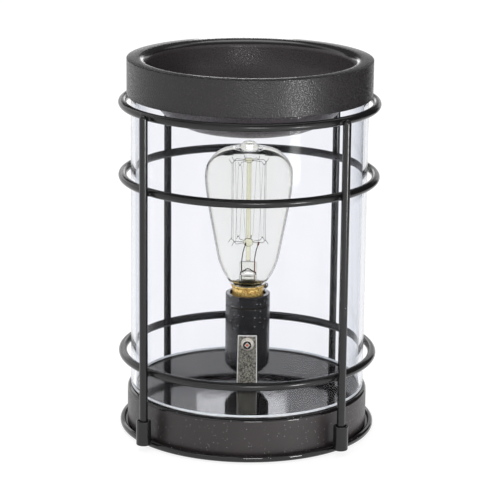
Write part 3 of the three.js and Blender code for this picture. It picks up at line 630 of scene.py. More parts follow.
class Shape:
    """A mesh in the making, in millimetres, that operators shape and that then becomes a piece."""

    def __init__(self) -> None:
        """Starts an empty shape."""
        self.mesh = bmesh.new()

    @classmethod
    def turned(
        cls, outline: Sequence[Corner], steps: Facets, closed: bool = False, fillet: int = 5,
    ) -> "Shape":
        """An outline turned round the axis.

        Args:
            outline: Its corners. An open outline starts and ends on the axis.
            steps: How many steps the turn has.
            closed: Whether the last corner joins the first, as on a ring.
            fillet: How many steps a rounded corner has.

        Returns:
            The turned shape.
        """
        shape = cls()
        mesh = shape.mesh
        corners = [mesh.verts.new((c.radius, 0, c.height)) for c in outline]
        for pair in zip(corners, corners[1:]):
            mesh.edges.new(pair)
        if closed:
            mesh.edges.new((corners[-1], corners[0]))
        for vertex, corner in zip(corners, outline):
            if corner.round:
                bmesh.ops.bevel(
                    mesh, geom=[vertex], offset=corner.round, offset_type="OFFSET", segments=fillet,
                    profile=0.5, affect="VERTICES", material=-1,
                )
        shape.spun(steps)
        bmesh.ops.remove_doubles(mesh, verts=mesh.verts[:], dist=1e-5)
        return shape

    @classmethod
    def peg(cls, radius: float, low: float, high: float) -> "Shape":
        """A plain round peg on the axis, used as a cutter."""
        outline = [Corner(0, low), Corner(radius, low), Corner(radius, high), Corner(0, high)]
        return cls.turned(outline, Facets.SMALL)

    @classmethod
    def ring(cls, radius: float, wire: float, height: float) -> "Shape":
        """A wire ring round the axis.

        Args:
            radius: From the axis to the middle of the wire.
            wire: The wire's radius.
            height: The ring's height.

        Returns:
            The ring.
        """
        shape = cls()
        upright = Matrix.Translation((radius, 0, height)) @ Matrix.Rotation(QUARTER_TURN, 4, "X")
        sides = Facets.WIRE.value
        bmesh.ops.create_circle(shape.mesh, cap_ends=False, radius=wire, segments=sides, matrix=upright)
        return shape.spun(Facets.WIDE)

    @classmethod
    def wire(cls, route: Sequence[Vector], radius: float, sides: Facets = Facets.FINE_WIRE) -> "Shape":
        """A round wire along a route.

        Args:
            route: The points that its middle follows.
            radius: Its radius.
            sides: How many sides it has.

        Returns:
            The wire.
        """
        shape = cls()
        steps = [(after - here).normalized() for here, after in zip(route, route[1:])]
        ways = [steps[0], *((a + b).normalized() for a, b in zip(steps, steps[1:])), steps[-1]]
        turn = Vector((0, 0, 1)).rotation_difference(ways[0])
        place = Matrix.Translation(route[0]) @ turn.to_matrix().to_4x4()
        bmesh.ops.create_circle(shape.mesh, cap_ends=False, radius=radius, segments=sides.value, matrix=place)
        edges = shape.mesh.edges[:]
        for here, before, way in zip(route[1:], ways, ways[1:]):
            edges, rim = shape.grown(edges)
            turn = before.rotation_difference(way) @ turn
            next_place = Matrix.Translation(here) @ turn.to_matrix().to_4x4()
            bmesh.ops.transform(
                shape.mesh, matrix=next_place @ place.inverted(), verts=rim, space=Matrix.Identity(4),
            )
            place = next_place
        bmesh.ops.holes_fill(shape.mesh, edges=shape.mesh.edges[:], sides=0)
        return shape

    @classmethod
    def block(cls, size: Sequence[float], middle: Vector, bevel: float = 0.0, steps: int = 2) -> "Shape":
        """A block with bevelled edges.

        Args:
            size: Its width, depth and height.
            middle: Where its middle is.
            bevel: How wide the bevels are.
            steps: How many steps they have.

        Returns:
            The block.
        """
        shape = cls()
        place = Matrix.Translation(middle) @ Matrix.Diagonal((*size, 1.0))
        bmesh.ops.create_cube(shape.mesh, size=1.0, matrix=place)
        if bevel:
            shape.bevel(shape.mesh.edges[:], bevel, steps)
        return shape

    @classmethod
    def blob(
        cls, size: Sequence[float], middle: Vector, degrees: float, lumps: float = 0.12, ripple: float = 1.7,
    ) -> "Shape":
        """A lumpy bead of weld or solder.

        Args:
            size: Its half width across, half depth outwards and half height.
            middle: Where its middle is.
            degrees: The angle from the front that it faces.
            lumps: How uneven it is, as a share of its size.
            ripple: How close together its lumps are.

        Returns:
            The bead.
        """
        shape = cls()
        bmesh.ops.create_icosphere(shape.mesh, subdivisions=3, radius=1.0)
        for vertex in shape.mesh.verts:
            vertex.co *= 1 + lumps * noise.noise(vertex.co * ripple + middle)
        turn = Matrix.Rotation(math.radians(degrees), 4, "Z")
        return shape.moved(Matrix.Translation(middle) @ turn @ Matrix.Diagonal((*size, 1.0)))

    def spun(self, steps: Facets, angle: float = FULL_TURN, merged: bool = True) -> "Shape":
        """Turns the whole shape round the axis, leaving a skin behind it.

        Args:
            steps: How many steps the turn has.
            angle: How far it goes.
            merged: Whether the end joins the start.

        Returns:
            This shape.
        """
        bmesh.ops.spin(
            self.mesh, geom=self.mesh.verts[:] + self.mesh.edges[:], cent=(0, 0, 0), axis=(0, 0, 1),
            dvec=(0, 0, 0), angle=angle, steps=steps.value, use_merge=merged,
        )
        return self

    def grown(
        self, edges: Sequence[bmesh.types.BMEdge],
    ) -> tuple[list[bmesh.types.BMEdge], list[bmesh.types.BMVert]]:
        """Extrudes edges, and leaves the new ones where they are.

        Args:
            edges: The edges.

        Returns:
            The new edges, and their vertices.
        """
        made = bmesh.ops.extrude_edge_only(self.mesh, edges=edges)["geom"]
        rim = {item for item in made if isinstance(item, bmesh.types.BMVert)}
        outer = [item for item in made if isinstance(item, bmesh.types.BMEdge) and rim.issuperset(item.verts)]
        return outer, list(rim)

    def bevel(
        self, edges: Sequence[bmesh.types.BMEdge], width: float, steps: int = 2,
    ) -> list[bmesh.types.BMFace]:
        """Bevels edges.

        Args:
            edges: The edges.
            width: How wide the bevels are.
            steps: How many steps they have.

        Returns:
            The bevels' faces.
        """
        made = bmesh.ops.bevel(
            self.mesh, geom=list(edges), offset=width, offset_type="OFFSET", segments=steps, profile=0.5,
            affect="EDGES", material=-1, clamp_overlap=True,
        )
        return made["faces"]

    def moved(self, matrix: Matrix) -> "Shape":
        """Moves the whole shape by a matrix and returns it."""
        bmesh.ops.transform(self.mesh, matrix=matrix, verts=self.mesh.verts[:], space=Matrix.Identity(4))
        return self

    def at(self, place: Vector) -> "Shape":
        """Shifts the whole shape to a place and returns it."""
        return self.moved(Matrix.Translation(place))

    def with_part(self, *others: "Shape") -> "Shape":
        """Takes in other shapes as they are.

        Args:
            *others: Shapes that aren't used again.

        Returns:
            This shape.
        """
        for other in others:
            taken = bpy.data.meshes.new("taken")
            other.mesh.to_mesh(taken)
            other.mesh.free()
            self.mesh.from_mesh(taken)
            bpy.data.meshes.remove(taken)
        return self

    def combined(self, other: "Shape", operation: str) -> "Shape":
        """Cuts another shape out of this one, or joins the two into one skin.

        Args:
            other: The other shape, which isn't used again.
            operation: DIFFERENCE or UNION.

        Returns:
            This shape.
        """
        working = []
        for shape in (self, other):
            bmesh.ops.recalc_face_normals(shape.mesh, faces=shape.mesh.faces[:])
            working.append(shape.linked("working"))
        kept, tool = working
        boolean = kept.modifiers.new("combined", "BOOLEAN")
        boolean.operation = operation
        boolean.solver = "EXACT"
        boolean.object = tool
        graph = bpy.context.evaluated_depsgraph_get()
        result = bpy.data.meshes.new_from_object(kept.evaluated_get(graph))
        self.mesh = bmesh.new()
        self.mesh.from_mesh(result)
        for mesh in (result, kept.data, tool.data):
            bpy.data.meshes.remove(mesh)
        return self

    def linked(self, name: str, *materials: bpy.types.Material) -> bpy.types.Object:
        """Puts the shape into the scene as it is, which uses up its mesh.

        Args:
            name: The object's name.
            *materials: The object's materials.

        Returns:
            The object.
        """
        mesh = bpy.data.meshes.new(name)
        self.mesh.to_mesh(mesh)
        self.mesh.free()
        for material in materials:
            mesh.materials.append(material)
        made = bpy.data.objects.new(name, mesh)
        bpy.context.scene.collection.objects.link(made)
        return made

    def piece(
        self, name: str, finishes: Finish | Sequence[Finish], body: Body, *replaced: str, sharp: float = 38.0,
    ) -> None:
        """Makes the shape a finished piece, in metres, with its place in its mesh.

        Args:
            name: The piece's name.
            finishes: Its finish, or one for each material number of its faces.
            body: The body that it rides on.
            *replaced: The CAD nodes that it stands for.
            sharp: Edges that turn more than this many degrees stay sharp.
        """
        finishes = [finishes] if isinstance(finishes, Finish) else list(finishes)
        self.moved(Matrix.Scale(MM, 4))
        bmesh.ops.recalc_face_normals(self.mesh, faces=self.mesh.faces[:])
        made = self.linked(name, *(finish.material for finish in finishes))
        made.data.shade_smooth()
        made.data.set_sharp_from_angle(angle=math.radians(sharp))
        made.modifiers.new("face_weighted_normals", "WEIGHTED_NORMAL").keep_sharp = True
        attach(made, body.value)
        if replaced:
            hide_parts(*replaced)
        LOG.info("%s on %s, %d faces", name, body.value, len(made.data.polygons))


# ---------------------------------------------------------------------------------------------------
# The warmer
# ---------------------------------------------------------------------------------------------------


@dataclass
class WaxDish:
    """The pressed dish: a bowl, a flat lip and a skirt that hangs over the chimney."""

    top: float = 160.0
    sheet: float = 0.8
    skirt_radius: float = 51.7
    skirt_bottom: float = 144.7
    skirt_corner: float = 1.2
    lip_corner: float = 3.2
    bowl_radius: float = 44.3
    bowl_corner: float = 25.0
    bowl_underside: float = 130.4
    hem: float = 0.35
    lip_share: float = 0.6
    lip_tilt: float = 0.2
    crown: float = 0.24
    crown_inset: float = 2.6
    crown_rounds: float = 3.0

    def build(self) -> None:
        """Builds the dish and dresses it, with a smoother coat on its slightly crowned lip and a lighter copy
        of the coat, painted light, inside the bowl.
        """
        inside = self.skirt_radius - self.sheet
        floor = self.bowl_underside + self.sheet
        wall = self.bowl_radius - self.sheet
        under_lip = self.top - self.sheet
        outline = [
            Corner(0, floor),
            Corner(wall, floor, self.bowl_corner - self.sheet),
            Corner(wall, self.top, self.lip_corner),
            Corner(
                self.skirt_radius - self.crown_inset, self.top + self.crown,
                self.crown_rounds * self.crown_inset,
            ),
            Corner(self.skirt_radius, self.top, self.skirt_corner),
            Corner(self.skirt_radius, self.skirt_bottom, self.hem),
            Corner(inside, self.skirt_bottom, self.hem),
            Corner(inside, under_lip, self.skirt_corner - self.sheet),
            Corner(self.bowl_radius, under_lip, self.lip_corner - self.sheet),
            Corner(self.bowl_radius, self.bowl_underside, self.bowl_corner),
            Corner(0, self.bowl_underside),
        ]
        dish = Shape.turned(outline, Facets.WIDE, fillet=10)
        lip_low = self.top - self.lip_corner * self.lip_share
        for face in dish.mesh.faces:
            middle = face.calc_center_median()
            across = math.hypot(middle.x, middle.y)
            if middle.z > lip_low and abs(face.normal.z) > self.lip_tilt:
                face.material_index = 1
            # The bowl's inner floor and wall take the lighter copy of the coat: painted light.
            elif middle.z > floor - self.sheet / 2 and across < wall + self.sheet / 2:
                face.material_index = 2
        dish.piece("dish_pressing", (DISH_COAT, LIP_COAT, LIT_BOWL_COAT), Body.DISH, "wax_dish")


@dataclass
class Chimney:
    """The clear glass tube, with softened rims and a painted highlight on its bottom rim."""

    radius: float = 50.0
    wall: float = 2.0
    low: float = 18.6
    high: float = 158.9
    rim: float = 0.5
    highlight_rim_share: float = 0.9

    def build(self) -> None:
        """Builds the tube and dresses it."""
        bore = self.radius - self.wall
        outline = [
            Corner(bore, self.low, self.rim),
            Corner(self.radius, self.low, self.rim),
            Corner(self.radius, self.high, self.rim),
            Corner(bore, self.high, self.rim),
        ]
        tube = Shape.turned(outline, Facets.WIDE, closed=True, fillet=3)
        # The bottom rim's faces take an opaque near-white finish: a painted highlight along the glass's foot.
        for face in tube.mesh.faces:
            if face.calc_center_median().z < self.low + self.rim * self.highlight_rim_share:
                face.material_index = 1
        tube.piece("chimney_tube", (CHIMNEY_GLASS, PAINTED_RIM_HIGHLIGHT), Body.CHIMNEY, "glass_chimney")


@dataclass
class WireCage:
    """Three wire rings, four rods in their ferrules, and the welds where wire meets wire."""

    wire: float = 1.75
    ring_radius: float = 53.45
    rod_foot: float = 3.5
    rod_top: float = 142.8
    tip_share: float = 0.98
    ferrule_radius: float = 3.1
    ferrule_bore: float = 2.05
    ferrule_low: float = 2.4
    ferrule_high: float = 12.9
    ferrule_floor: float = 0.8
    ferrule_edge: float = 0.4
    ferrule_lip: float = 0.3
    rings: tuple[tuple[str, float], ...] = (
        ("top_ring", 141.4), ("middle_ring", 110.2), ("lower_ring", 33.1),
    )
    weld_size: Triple = (2.3, 0.9, 1.15)
    weld_drop: float = 0.15

    def build(self) -> None:
        """Builds every wire and weld of the cage."""
        for name, height in self.rings:
            ring = Shape.ring(self.ring_radius, self.wire, height)
            ring.piece(f"{name}_wire", CAGE_PAINT, Body.BASE, name)
        for name, degrees in ROD_ANGLES.items():
            self.rod(name, degrees)
            self.ferrule(name, degrees)
            self.welds(name, degrees)

    def rod(self, name: str, degrees: float) -> None:
        """Builds one upright rod with its rounded top.

        Args:
            name: Where it stands.
            degrees: Its angle from the front.
        """
        outline = [
            Corner(0, self.rod_foot),
            Corner(self.wire, self.rod_foot),
            Corner(self.wire, self.rod_top, self.wire * self.tip_share),
            Corner(0, self.rod_top),
        ]
        rod = Shape.turned(outline, Facets.WIRE).at(spot(ROD_PLACE, degrees))
        rod.piece(f"rod_{name}_wire", CAGE_PAINT, Body.BASE, f"rod_{name}")

    def ferrule(self, name: str, degrees: float) -> None:
        """Builds the short sleeve that a rod stands in.

        Args:
            name: Where it stands.
            degrees: Its angle from the front.
        """
        floor = self.ferrule_low + self.ferrule_floor
        outline = [
            Corner(0, self.ferrule_low),
            Corner(self.ferrule_radius, self.ferrule_low, self.ferrule_edge),
            Corner(self.ferrule_radius, self.ferrule_high, self.ferrule_edge),
            Corner(self.ferrule_bore, self.ferrule_high, self.ferrule_lip),
            Corner(self.ferrule_bore, floor),
            Corner(0, floor),
        ]
        sleeve = Shape.turned(outline, Facets.SMALL).at(spot(ROD_PLACE, degrees))
        sleeve.piece(f"ferrule_{name}_sleeve", CAGE_PAINT, Body.BASE, f"ferrule_{name}")

    def welds(self, name: str, degrees: float) -> None:
        """Builds the beads of weld between one rod and the rings.

        Args:
            name: Where the rod stands.
            degrees: Its angle from the front.
        """
        contact = (self.ring_radius + ROD_PLACE) / 2
        beads = [
            Shape.blob(self.weld_size, spot(contact, degrees, height - self.weld_drop), degrees)
            for _, height in self.rings
        ]
        beads[0].with_part(*beads[1:]).piece(f"welds_{name}", CAGE_PAINT, Body.BASE)


@dataclass
class LampBase:
    """The pressed drum whose top is the lamp plate, the pan under it, and what closes them.

    A peg is a hole's cutter: its radius and the heights of its ends.
    """

    plate: float = 18.3
    sheet: float = 0.8
    hem: float = 0.3
    drum_radius: float = 51.4
    drum_low: float = 2.1
    shoulder: float = 1.5
    wall_tilt: float = 0.12
    rivet_hole: float = 3.2
    inlet_height: float = 9.8
    inlet_bore: float = 2.6
    inlet_neck: float = 3.7
    inlet_nut: float = 5.0
    inlet_flange: float = 5.5
    inlet_steps: tuple[float, float, float, float] = (48.5, 50.0, 51.7, 53.3)
    inlet_peg: Triple = (4.0, 40.0, 60.0)
    pan_radius: float = 54.6
    bead_inner: float = 52.5
    bead_low: float = 0.45
    bead_high: float = 3.25
    bead_round: float = 1.2
    pan_floor: float = 1.0
    raised_radius: float = 38.0
    raised_floor: float = 4.2
    raised_slope: float = 2.0
    raised_round: float = 0.8
    notch_peg: Triple = (3.4, 2.1, 4.25)
    screw_peg: Triple = (1.8, 3.2, 6.0)
    screw_place: float = 30.4
    screw_angles: Triple = (0.0, 120.0, 240.0)
    head_radius: float = 3.0
    head_span: Pair = (2.1, 3.9)
    shank_radius: float = 1.5
    shank_top: float = 12.0
    cross: Triple = (3.4, 0.7, 1.6)

    def build(self) -> None:
        """Builds the drum, the pan, its screws and the cord inlet."""
        self.drum()
        self.pan()
        self.cord_inlet()
        for number, degrees in enumerate(self.screw_angles, 1):
            self.cover_screw(number, degrees)

    def drum(self) -> None:
        """Builds the upside-down can with its rear hole, its wall in a lighter copy of the gloss paint as
        painted light.
        """
        inside = self.drum_radius - self.sheet
        ceiling = self.plate - self.sheet
        outline = [
            Corner(self.rivet_hole, self.plate),
            Corner(self.drum_radius, self.plate, self.shoulder),
            Corner(self.drum_radius, self.drum_low, self.hem),
            Corner(inside, self.drum_low, self.hem),
            Corner(inside, ceiling, self.shoulder - self.sheet),
            Corner(self.rivet_hole, ceiling),
        ]
        can = Shape.turned(outline, Facets.WIDE, closed=True, fillet=8)
        can.combined(self.along_back(Shape.peg(*self.inlet_peg)), "DIFFERENCE")
        can.mesh.normal_update()
        # Upright wall faces take the lighter copy of the paint: painted light.
        for face in can.mesh.faces:
            if abs(face.normal.z) < self.wall_tilt:
                face.material_index = 1
        can.piece("drum_pressing", (BASE_PAINT, LIT_BASE_WALL), Body.BASE, "base_drum")

    def along_back(self, shape: Shape) -> Shape:
        """Lays an upright shape along the cord inlet's axis, its heights measured towards the back."""
        turn = Matrix.Rotation(-QUARTER_TURN, 4, "X")
        return shape.moved(Matrix.Translation((0, 0, self.inlet_height)) @ turn)

    def pan(self) -> None:
        """Builds the pan with its bead, notches and screw holes."""
        slope_foot = self.raised_radius + self.raised_slope
        slope_shift = self.sheet / 2
        lower = self.raised_floor
        upper = self.raised_floor + self.sheet
        outline = [
            Corner(0, upper),
            Corner(self.raised_radius + slope_shift, upper, self.raised_round),
            Corner(slope_foot + slope_shift, self.pan_floor + self.sheet, self.raised_round),
            Corner(self.bead_inner, self.pan_floor + self.sheet, 0.3),
            Corner(self.bead_inner, self.bead_high, 0.7),
            Corner(self.pan_radius, self.bead_high, self.bead_round),
            Corner(self.pan_radius, self.bead_low, self.bead_round),
            Corner(self.bead_inner + 0.5, self.bead_low, 0.3),
            Corner(self.bead_inner - 0.2, self.pan_floor, 0.3),
            Corner(slope_foot, self.pan_floor, self.raised_round),
            Corner(self.raised_radius, lower, self.raised_round),
            Corner(0, lower),
        ]
        pan = Shape.turned(outline, Facets.WIDE, fillet=4)
        holes = [Shape.peg(*self.notch_peg).at(spot(ROD_PLACE, turn)) for turn in ROD_ANGLES.values()]
        holes += [Shape.peg(*self.screw_peg).at(spot(self.screw_place, turn)) for turn in self.screw_angles]
        pan.combined(holes[0].with_part(*holes[1:]), "DIFFERENCE")
        pan.piece("pan_pressing", BASE_PAINT, Body.BASE, "base_pan")

    def cord_inlet(self) -> None:
        """Builds the bush in the drum's rear wall, from the nut inside it to the flange outside."""
        nut_start, nut_end, flange_start, flange_end = self.inlet_steps
        outline = [
            Corner(self.inlet_bore, nut_start, 0.3),
            Corner(self.inlet_nut, nut_start, 0.5),
            Corner(self.inlet_nut, nut_end, 0.2),
            Corner(self.inlet_neck, nut_end),
            Corner(self.inlet_neck, flange_start),
            Corner(self.inlet_flange, flange_start, 0.2),
            Corner(self.inlet_flange, flange_end, 0.7),
            Corner(self.inlet_bore, flange_end, 0.5),
        ]
        bush = self.along_back(Shape.turned(outline, Facets.SMALL, closed=True))
        bush.piece("inlet_bush", RESIN, Body.BASE, "cord_inlet")

    def cover_screw(self, number: int, degrees: float) -> None:
        """Builds one screw that holds the pan, with a cross recess in its head.

        Args:
            number: The screw's number.
            degrees: Its angle from the front.
        """
        low, high = self.head_span
        outline = [
            Corner(0, low),
            Corner(self.head_radius, low, 0.8),
            Corner(self.head_radius, high, 0.2),
            Corner(self.shank_radius, high),
            Corner(self.shank_radius, self.shank_top, 0.4),
            Corner(0, self.shank_top),
        ]
        screw = Shape.turned(outline, Facets.SMALL)
        length, width, depth = self.cross
        for size in ((length, width, depth), (width, length, depth)):
            screw.combined(Shape.block(size, Vector((0, 0, low))), "DIFFERENCE")
        screw.at(spot(self.screw_place, degrees))
        screw.piece(f"pan_screw_{number}", SCREW_STEEL, Body.BASE, f"cover_screw_{number}")


@dataclass
class LampHolder:
    """The black holder with its collar, and the bracket that carries it.

    A peg is a hole's cutter: its radius and the heights of its ends. Along the screw, a height is the
    distance from the lamp's axis.
    """

    radius: float = 9.5
    low: float = 24.2
    taper_height: float = 3.4
    taper_radius: float = 6.9
    mouth: float = 4.0
    cavity: float = 8.2
    cavity_floor: float = 28.2
    body_top: float = 53.25
    body_peg: Triple = (1.55, 8.0, 11.0)
    collar_low: float = 53.55
    collar_top: float = 58.5
    collar_mouth: float = 7.6
    collar_lip: float = 1.2
    collar_edge: float = 0.35
    bracket_back: float = 9.8
    bracket_sheet: float = 1.0
    bracket_low: float = 18.6
    bracket_top: float = 42.3
    bracket_peg: Triple = (1.55, 9.0, 12.0)
    foot_half: float = 4.3
    top_half: float = 4.0
    bend: float = 0.9
    cut_edge: float = 0.3
    screw_height: float = 38.7
    washer_radii: Pair = (1.55, 2.8)
    washer_span: Pair = (11.1, 11.6)
    shank_radius: float = 1.25
    shank_end: float = 3.8
    head_radius: float = 2.3
    head_span: Pair = (11.9, 13.2)
    recess_radius: float = 1.8
    recess_floor: float = 12.2
    square: Triple = (1.8, 1.8, 1.3)
    square_middle: float = 12.55
    copper_radius: float = 0.55
    copper_span: Pair = (12.8, 13.3)
    copper_faces: Pair = (0.6, 13.21)
    recess_shade_faces: Triple = (1.85, 12.1, 12.9)

    def build(self) -> None:
        """Builds the holder, the collar, the bracket and its screw."""
        self.holder()
        self.collar()
        self.bracket()
        self.washer_and_screw()

    def holder(self) -> None:
        """Builds the holder's body with its tapered foot and the screw's hole."""
        outline = [
            Corner(self.mouth, self.low, 0.3),
            Corner(self.taper_radius, self.low, 0.6),
            Corner(self.radius, self.low + self.taper_height, 0.6),
            Corner(self.radius, self.body_top, 0.25),
            Corner(self.cavity, self.body_top),
            Corner(self.cavity, self.cavity_floor),
            Corner(self.mouth, self.cavity_floor),
        ]
        body = Shape.turned(outline, Facets.MIDDLE, closed=True)
        body.combined(self.along_front(Shape.peg(*self.body_peg)), "DIFFERENCE")
        body.piece("holder_moulding", RESIN, Body.BASE, "holder_body")

    def along_front(self, shape: Shape) -> Shape:
        """Lays an upright shape along the bracket screw's axis, its heights measured towards the front."""
        turn = Matrix.Rotation(QUARTER_TURN, 4, "X")
        return shape.moved(Matrix.Translation((0, 0, self.screw_height)) @ turn)

    def collar(self) -> None:
        """Builds the collar with its softened rim."""
        lip_low = self.collar_top - self.collar_lip
        outline = [
            Corner(self.cavity, self.collar_low),
            Corner(self.radius, self.collar_low, 0.25),
            Corner(self.radius, self.collar_top, self.collar_edge),
            Corner(self.collar_mouth, self.collar_top, self.collar_edge),
            Corner(self.collar_mouth, lip_low),
            Corner(self.cavity, lip_low),
        ]
        collar = Shape.turned(outline, Facets.MIDDLE, closed=True)
        collar.piece("holder_collar_ring", RESIN, Body.BASE, "holder_collar")

    def bracket(self) -> None:
        """Builds the plated strip: its foot, its bend and its upright, with a painted highlight on its
        bevelled edges.
        """
        strip = Shape()
        mesh = strip.mesh
        bmesh.ops.create_circle(mesh, cap_ends=True, radius=self.foot_half, segments=Facets.SMALL.value)
        cut_plane = {"plane_co": (0, 0, 0), "plane_no": (0, -1, 0), "clear_outer": True}
        bmesh.ops.bisect_plane(mesh, geom=mesh.verts[:] + mesh.edges[:] + mesh.faces[:], **cut_plane)
        front = [edge for edge in mesh.edges if all(abs(v.co.y) < NEAR for v in edge.verts)]
        reach = self.bracket_back - self.bend
        rise = self.bracket_top - self.bracket_low - self.bend - self.bracket_sheet
        front, rim = strip.grown(front)
        bmesh.ops.translate(mesh, vec=(0, -reach, 0), verts=rim)
        made = bmesh.ops.spin(
            mesh, geom=front, cent=(0, -reach, self.bend + self.bracket_sheet), axis=(-1, 0, 0),
            dvec=(0, 0, 0), angle=QUARTER_TURN, steps=6, use_merge=False,
        )
        _, rim = strip.grown([item for item in made["geom_last"] if isinstance(item, bmesh.types.BMEdge)])
        bmesh.ops.translate(mesh, vec=(0, 0, rise), verts=rim)
        bmesh.ops.scale(mesh, vec=(self.top_half / self.foot_half, 1, 1), verts=rim)
        bmesh.ops.remove_doubles(mesh, verts=mesh.verts[:], dist=NEAR)
        bmesh.ops.recalc_face_normals(mesh, faces=mesh.faces[:])
        if max(mesh.faces, key=lambda f: f.calc_center_median().z).normal.y > 0:
            bmesh.ops.reverse_faces(mesh, faces=mesh.faces[:])
        bmesh.ops.solidify(mesh, geom=mesh.faces[:], thickness=self.bracket_sheet)
        strip.at(Vector((0, 0, self.bracket_low)))
        strip.combined(self.along_front(Shape.peg(*self.bracket_peg)), "DIFFERENCE")
        corners = [e for e in strip.mesh.edges if e.is_manifold and e.calc_face_angle() > math.radians(60)]
        # The bevels' faces take a near-white finish: a painted highlight along the edges.
        for face in strip.bevel(corners, self.cut_edge):
            face.material_index = 1
        strip.piece("bracket_strip", (PLATED, PLATED_EDGE_HIGHLIGHT), Body.BASE, "lamp_bracket", sharp=25)

    def washer_and_screw(self) -> None:
        """Builds the washer and the screw, with a square in the head's recess, a copper spot on it, and black
        resin in the recess as painted shade.
        """
        bore, rim = self.washer_radii
        back, front = self.washer_span
        washer_outline = [
            Corner(bore, back), Corner(rim, back, 0.1), Corner(rim, front, 0.15), Corner(bore, front),
        ]
        washer = self.along_front(Shape.turned(washer_outline, Facets.SMALL, closed=True))
        washer.piece("bracket_washer_ring", SCREW_STEEL, Body.BASE, "bracket_washer")
        back, front = self.head_span
        head_outline = [
            Corner(0, self.shank_end),
            Corner(self.shank_radius, self.shank_end, 0.3),
            Corner(self.shank_radius, back),
            Corner(self.head_radius, back, 0.15),
            Corner(self.head_radius, front, 0.5),
            Corner(self.recess_radius, front, 0.15),
            Corner(self.recess_radius, self.recess_floor),
            Corner(0, self.recess_floor),
        ]
        screw = Shape.turned(head_outline, Facets.SMALL)
        square = Shape.block(self.square, Vector((0, 0, self.square_middle)))
        screw.combined(square.moved(Matrix.Rotation(QUARTER_TURN / 2, 4, "Z")), "UNION")
        low, high = self.copper_span
        side = self.copper_radius
        copper_outline = [Corner(0, low), Corner(side, low), Corner(side, high, 0.08), Corner(0, high)]
        screw.combined(Shape.turned(copper_outline, Facets.WIRE), "UNION")
        copper_reach, copper_low = self.copper_faces
        recess_reach, recess_low, recess_high = self.recess_shade_faces
        for face in screw.mesh.faces:
            middle = face.calc_center_median()
            across = math.hypot(middle.x, middle.y)
            if across < copper_reach and middle.z > copper_low:
                face.material_index = 1
            # The recess's floor, its lower walls and the square's sides take black resin: painted shade in
            # the recess.
            elif across < recess_reach and recess_low < middle.z < recess_high:
                face.material_index = 2
        finishes = (SCREW_STEEL, SCREW_COPPER, RESIN)
        self.along_front(screw).piece("bracket_screw_head", finishes, Body.BASE, "bracket_screw")


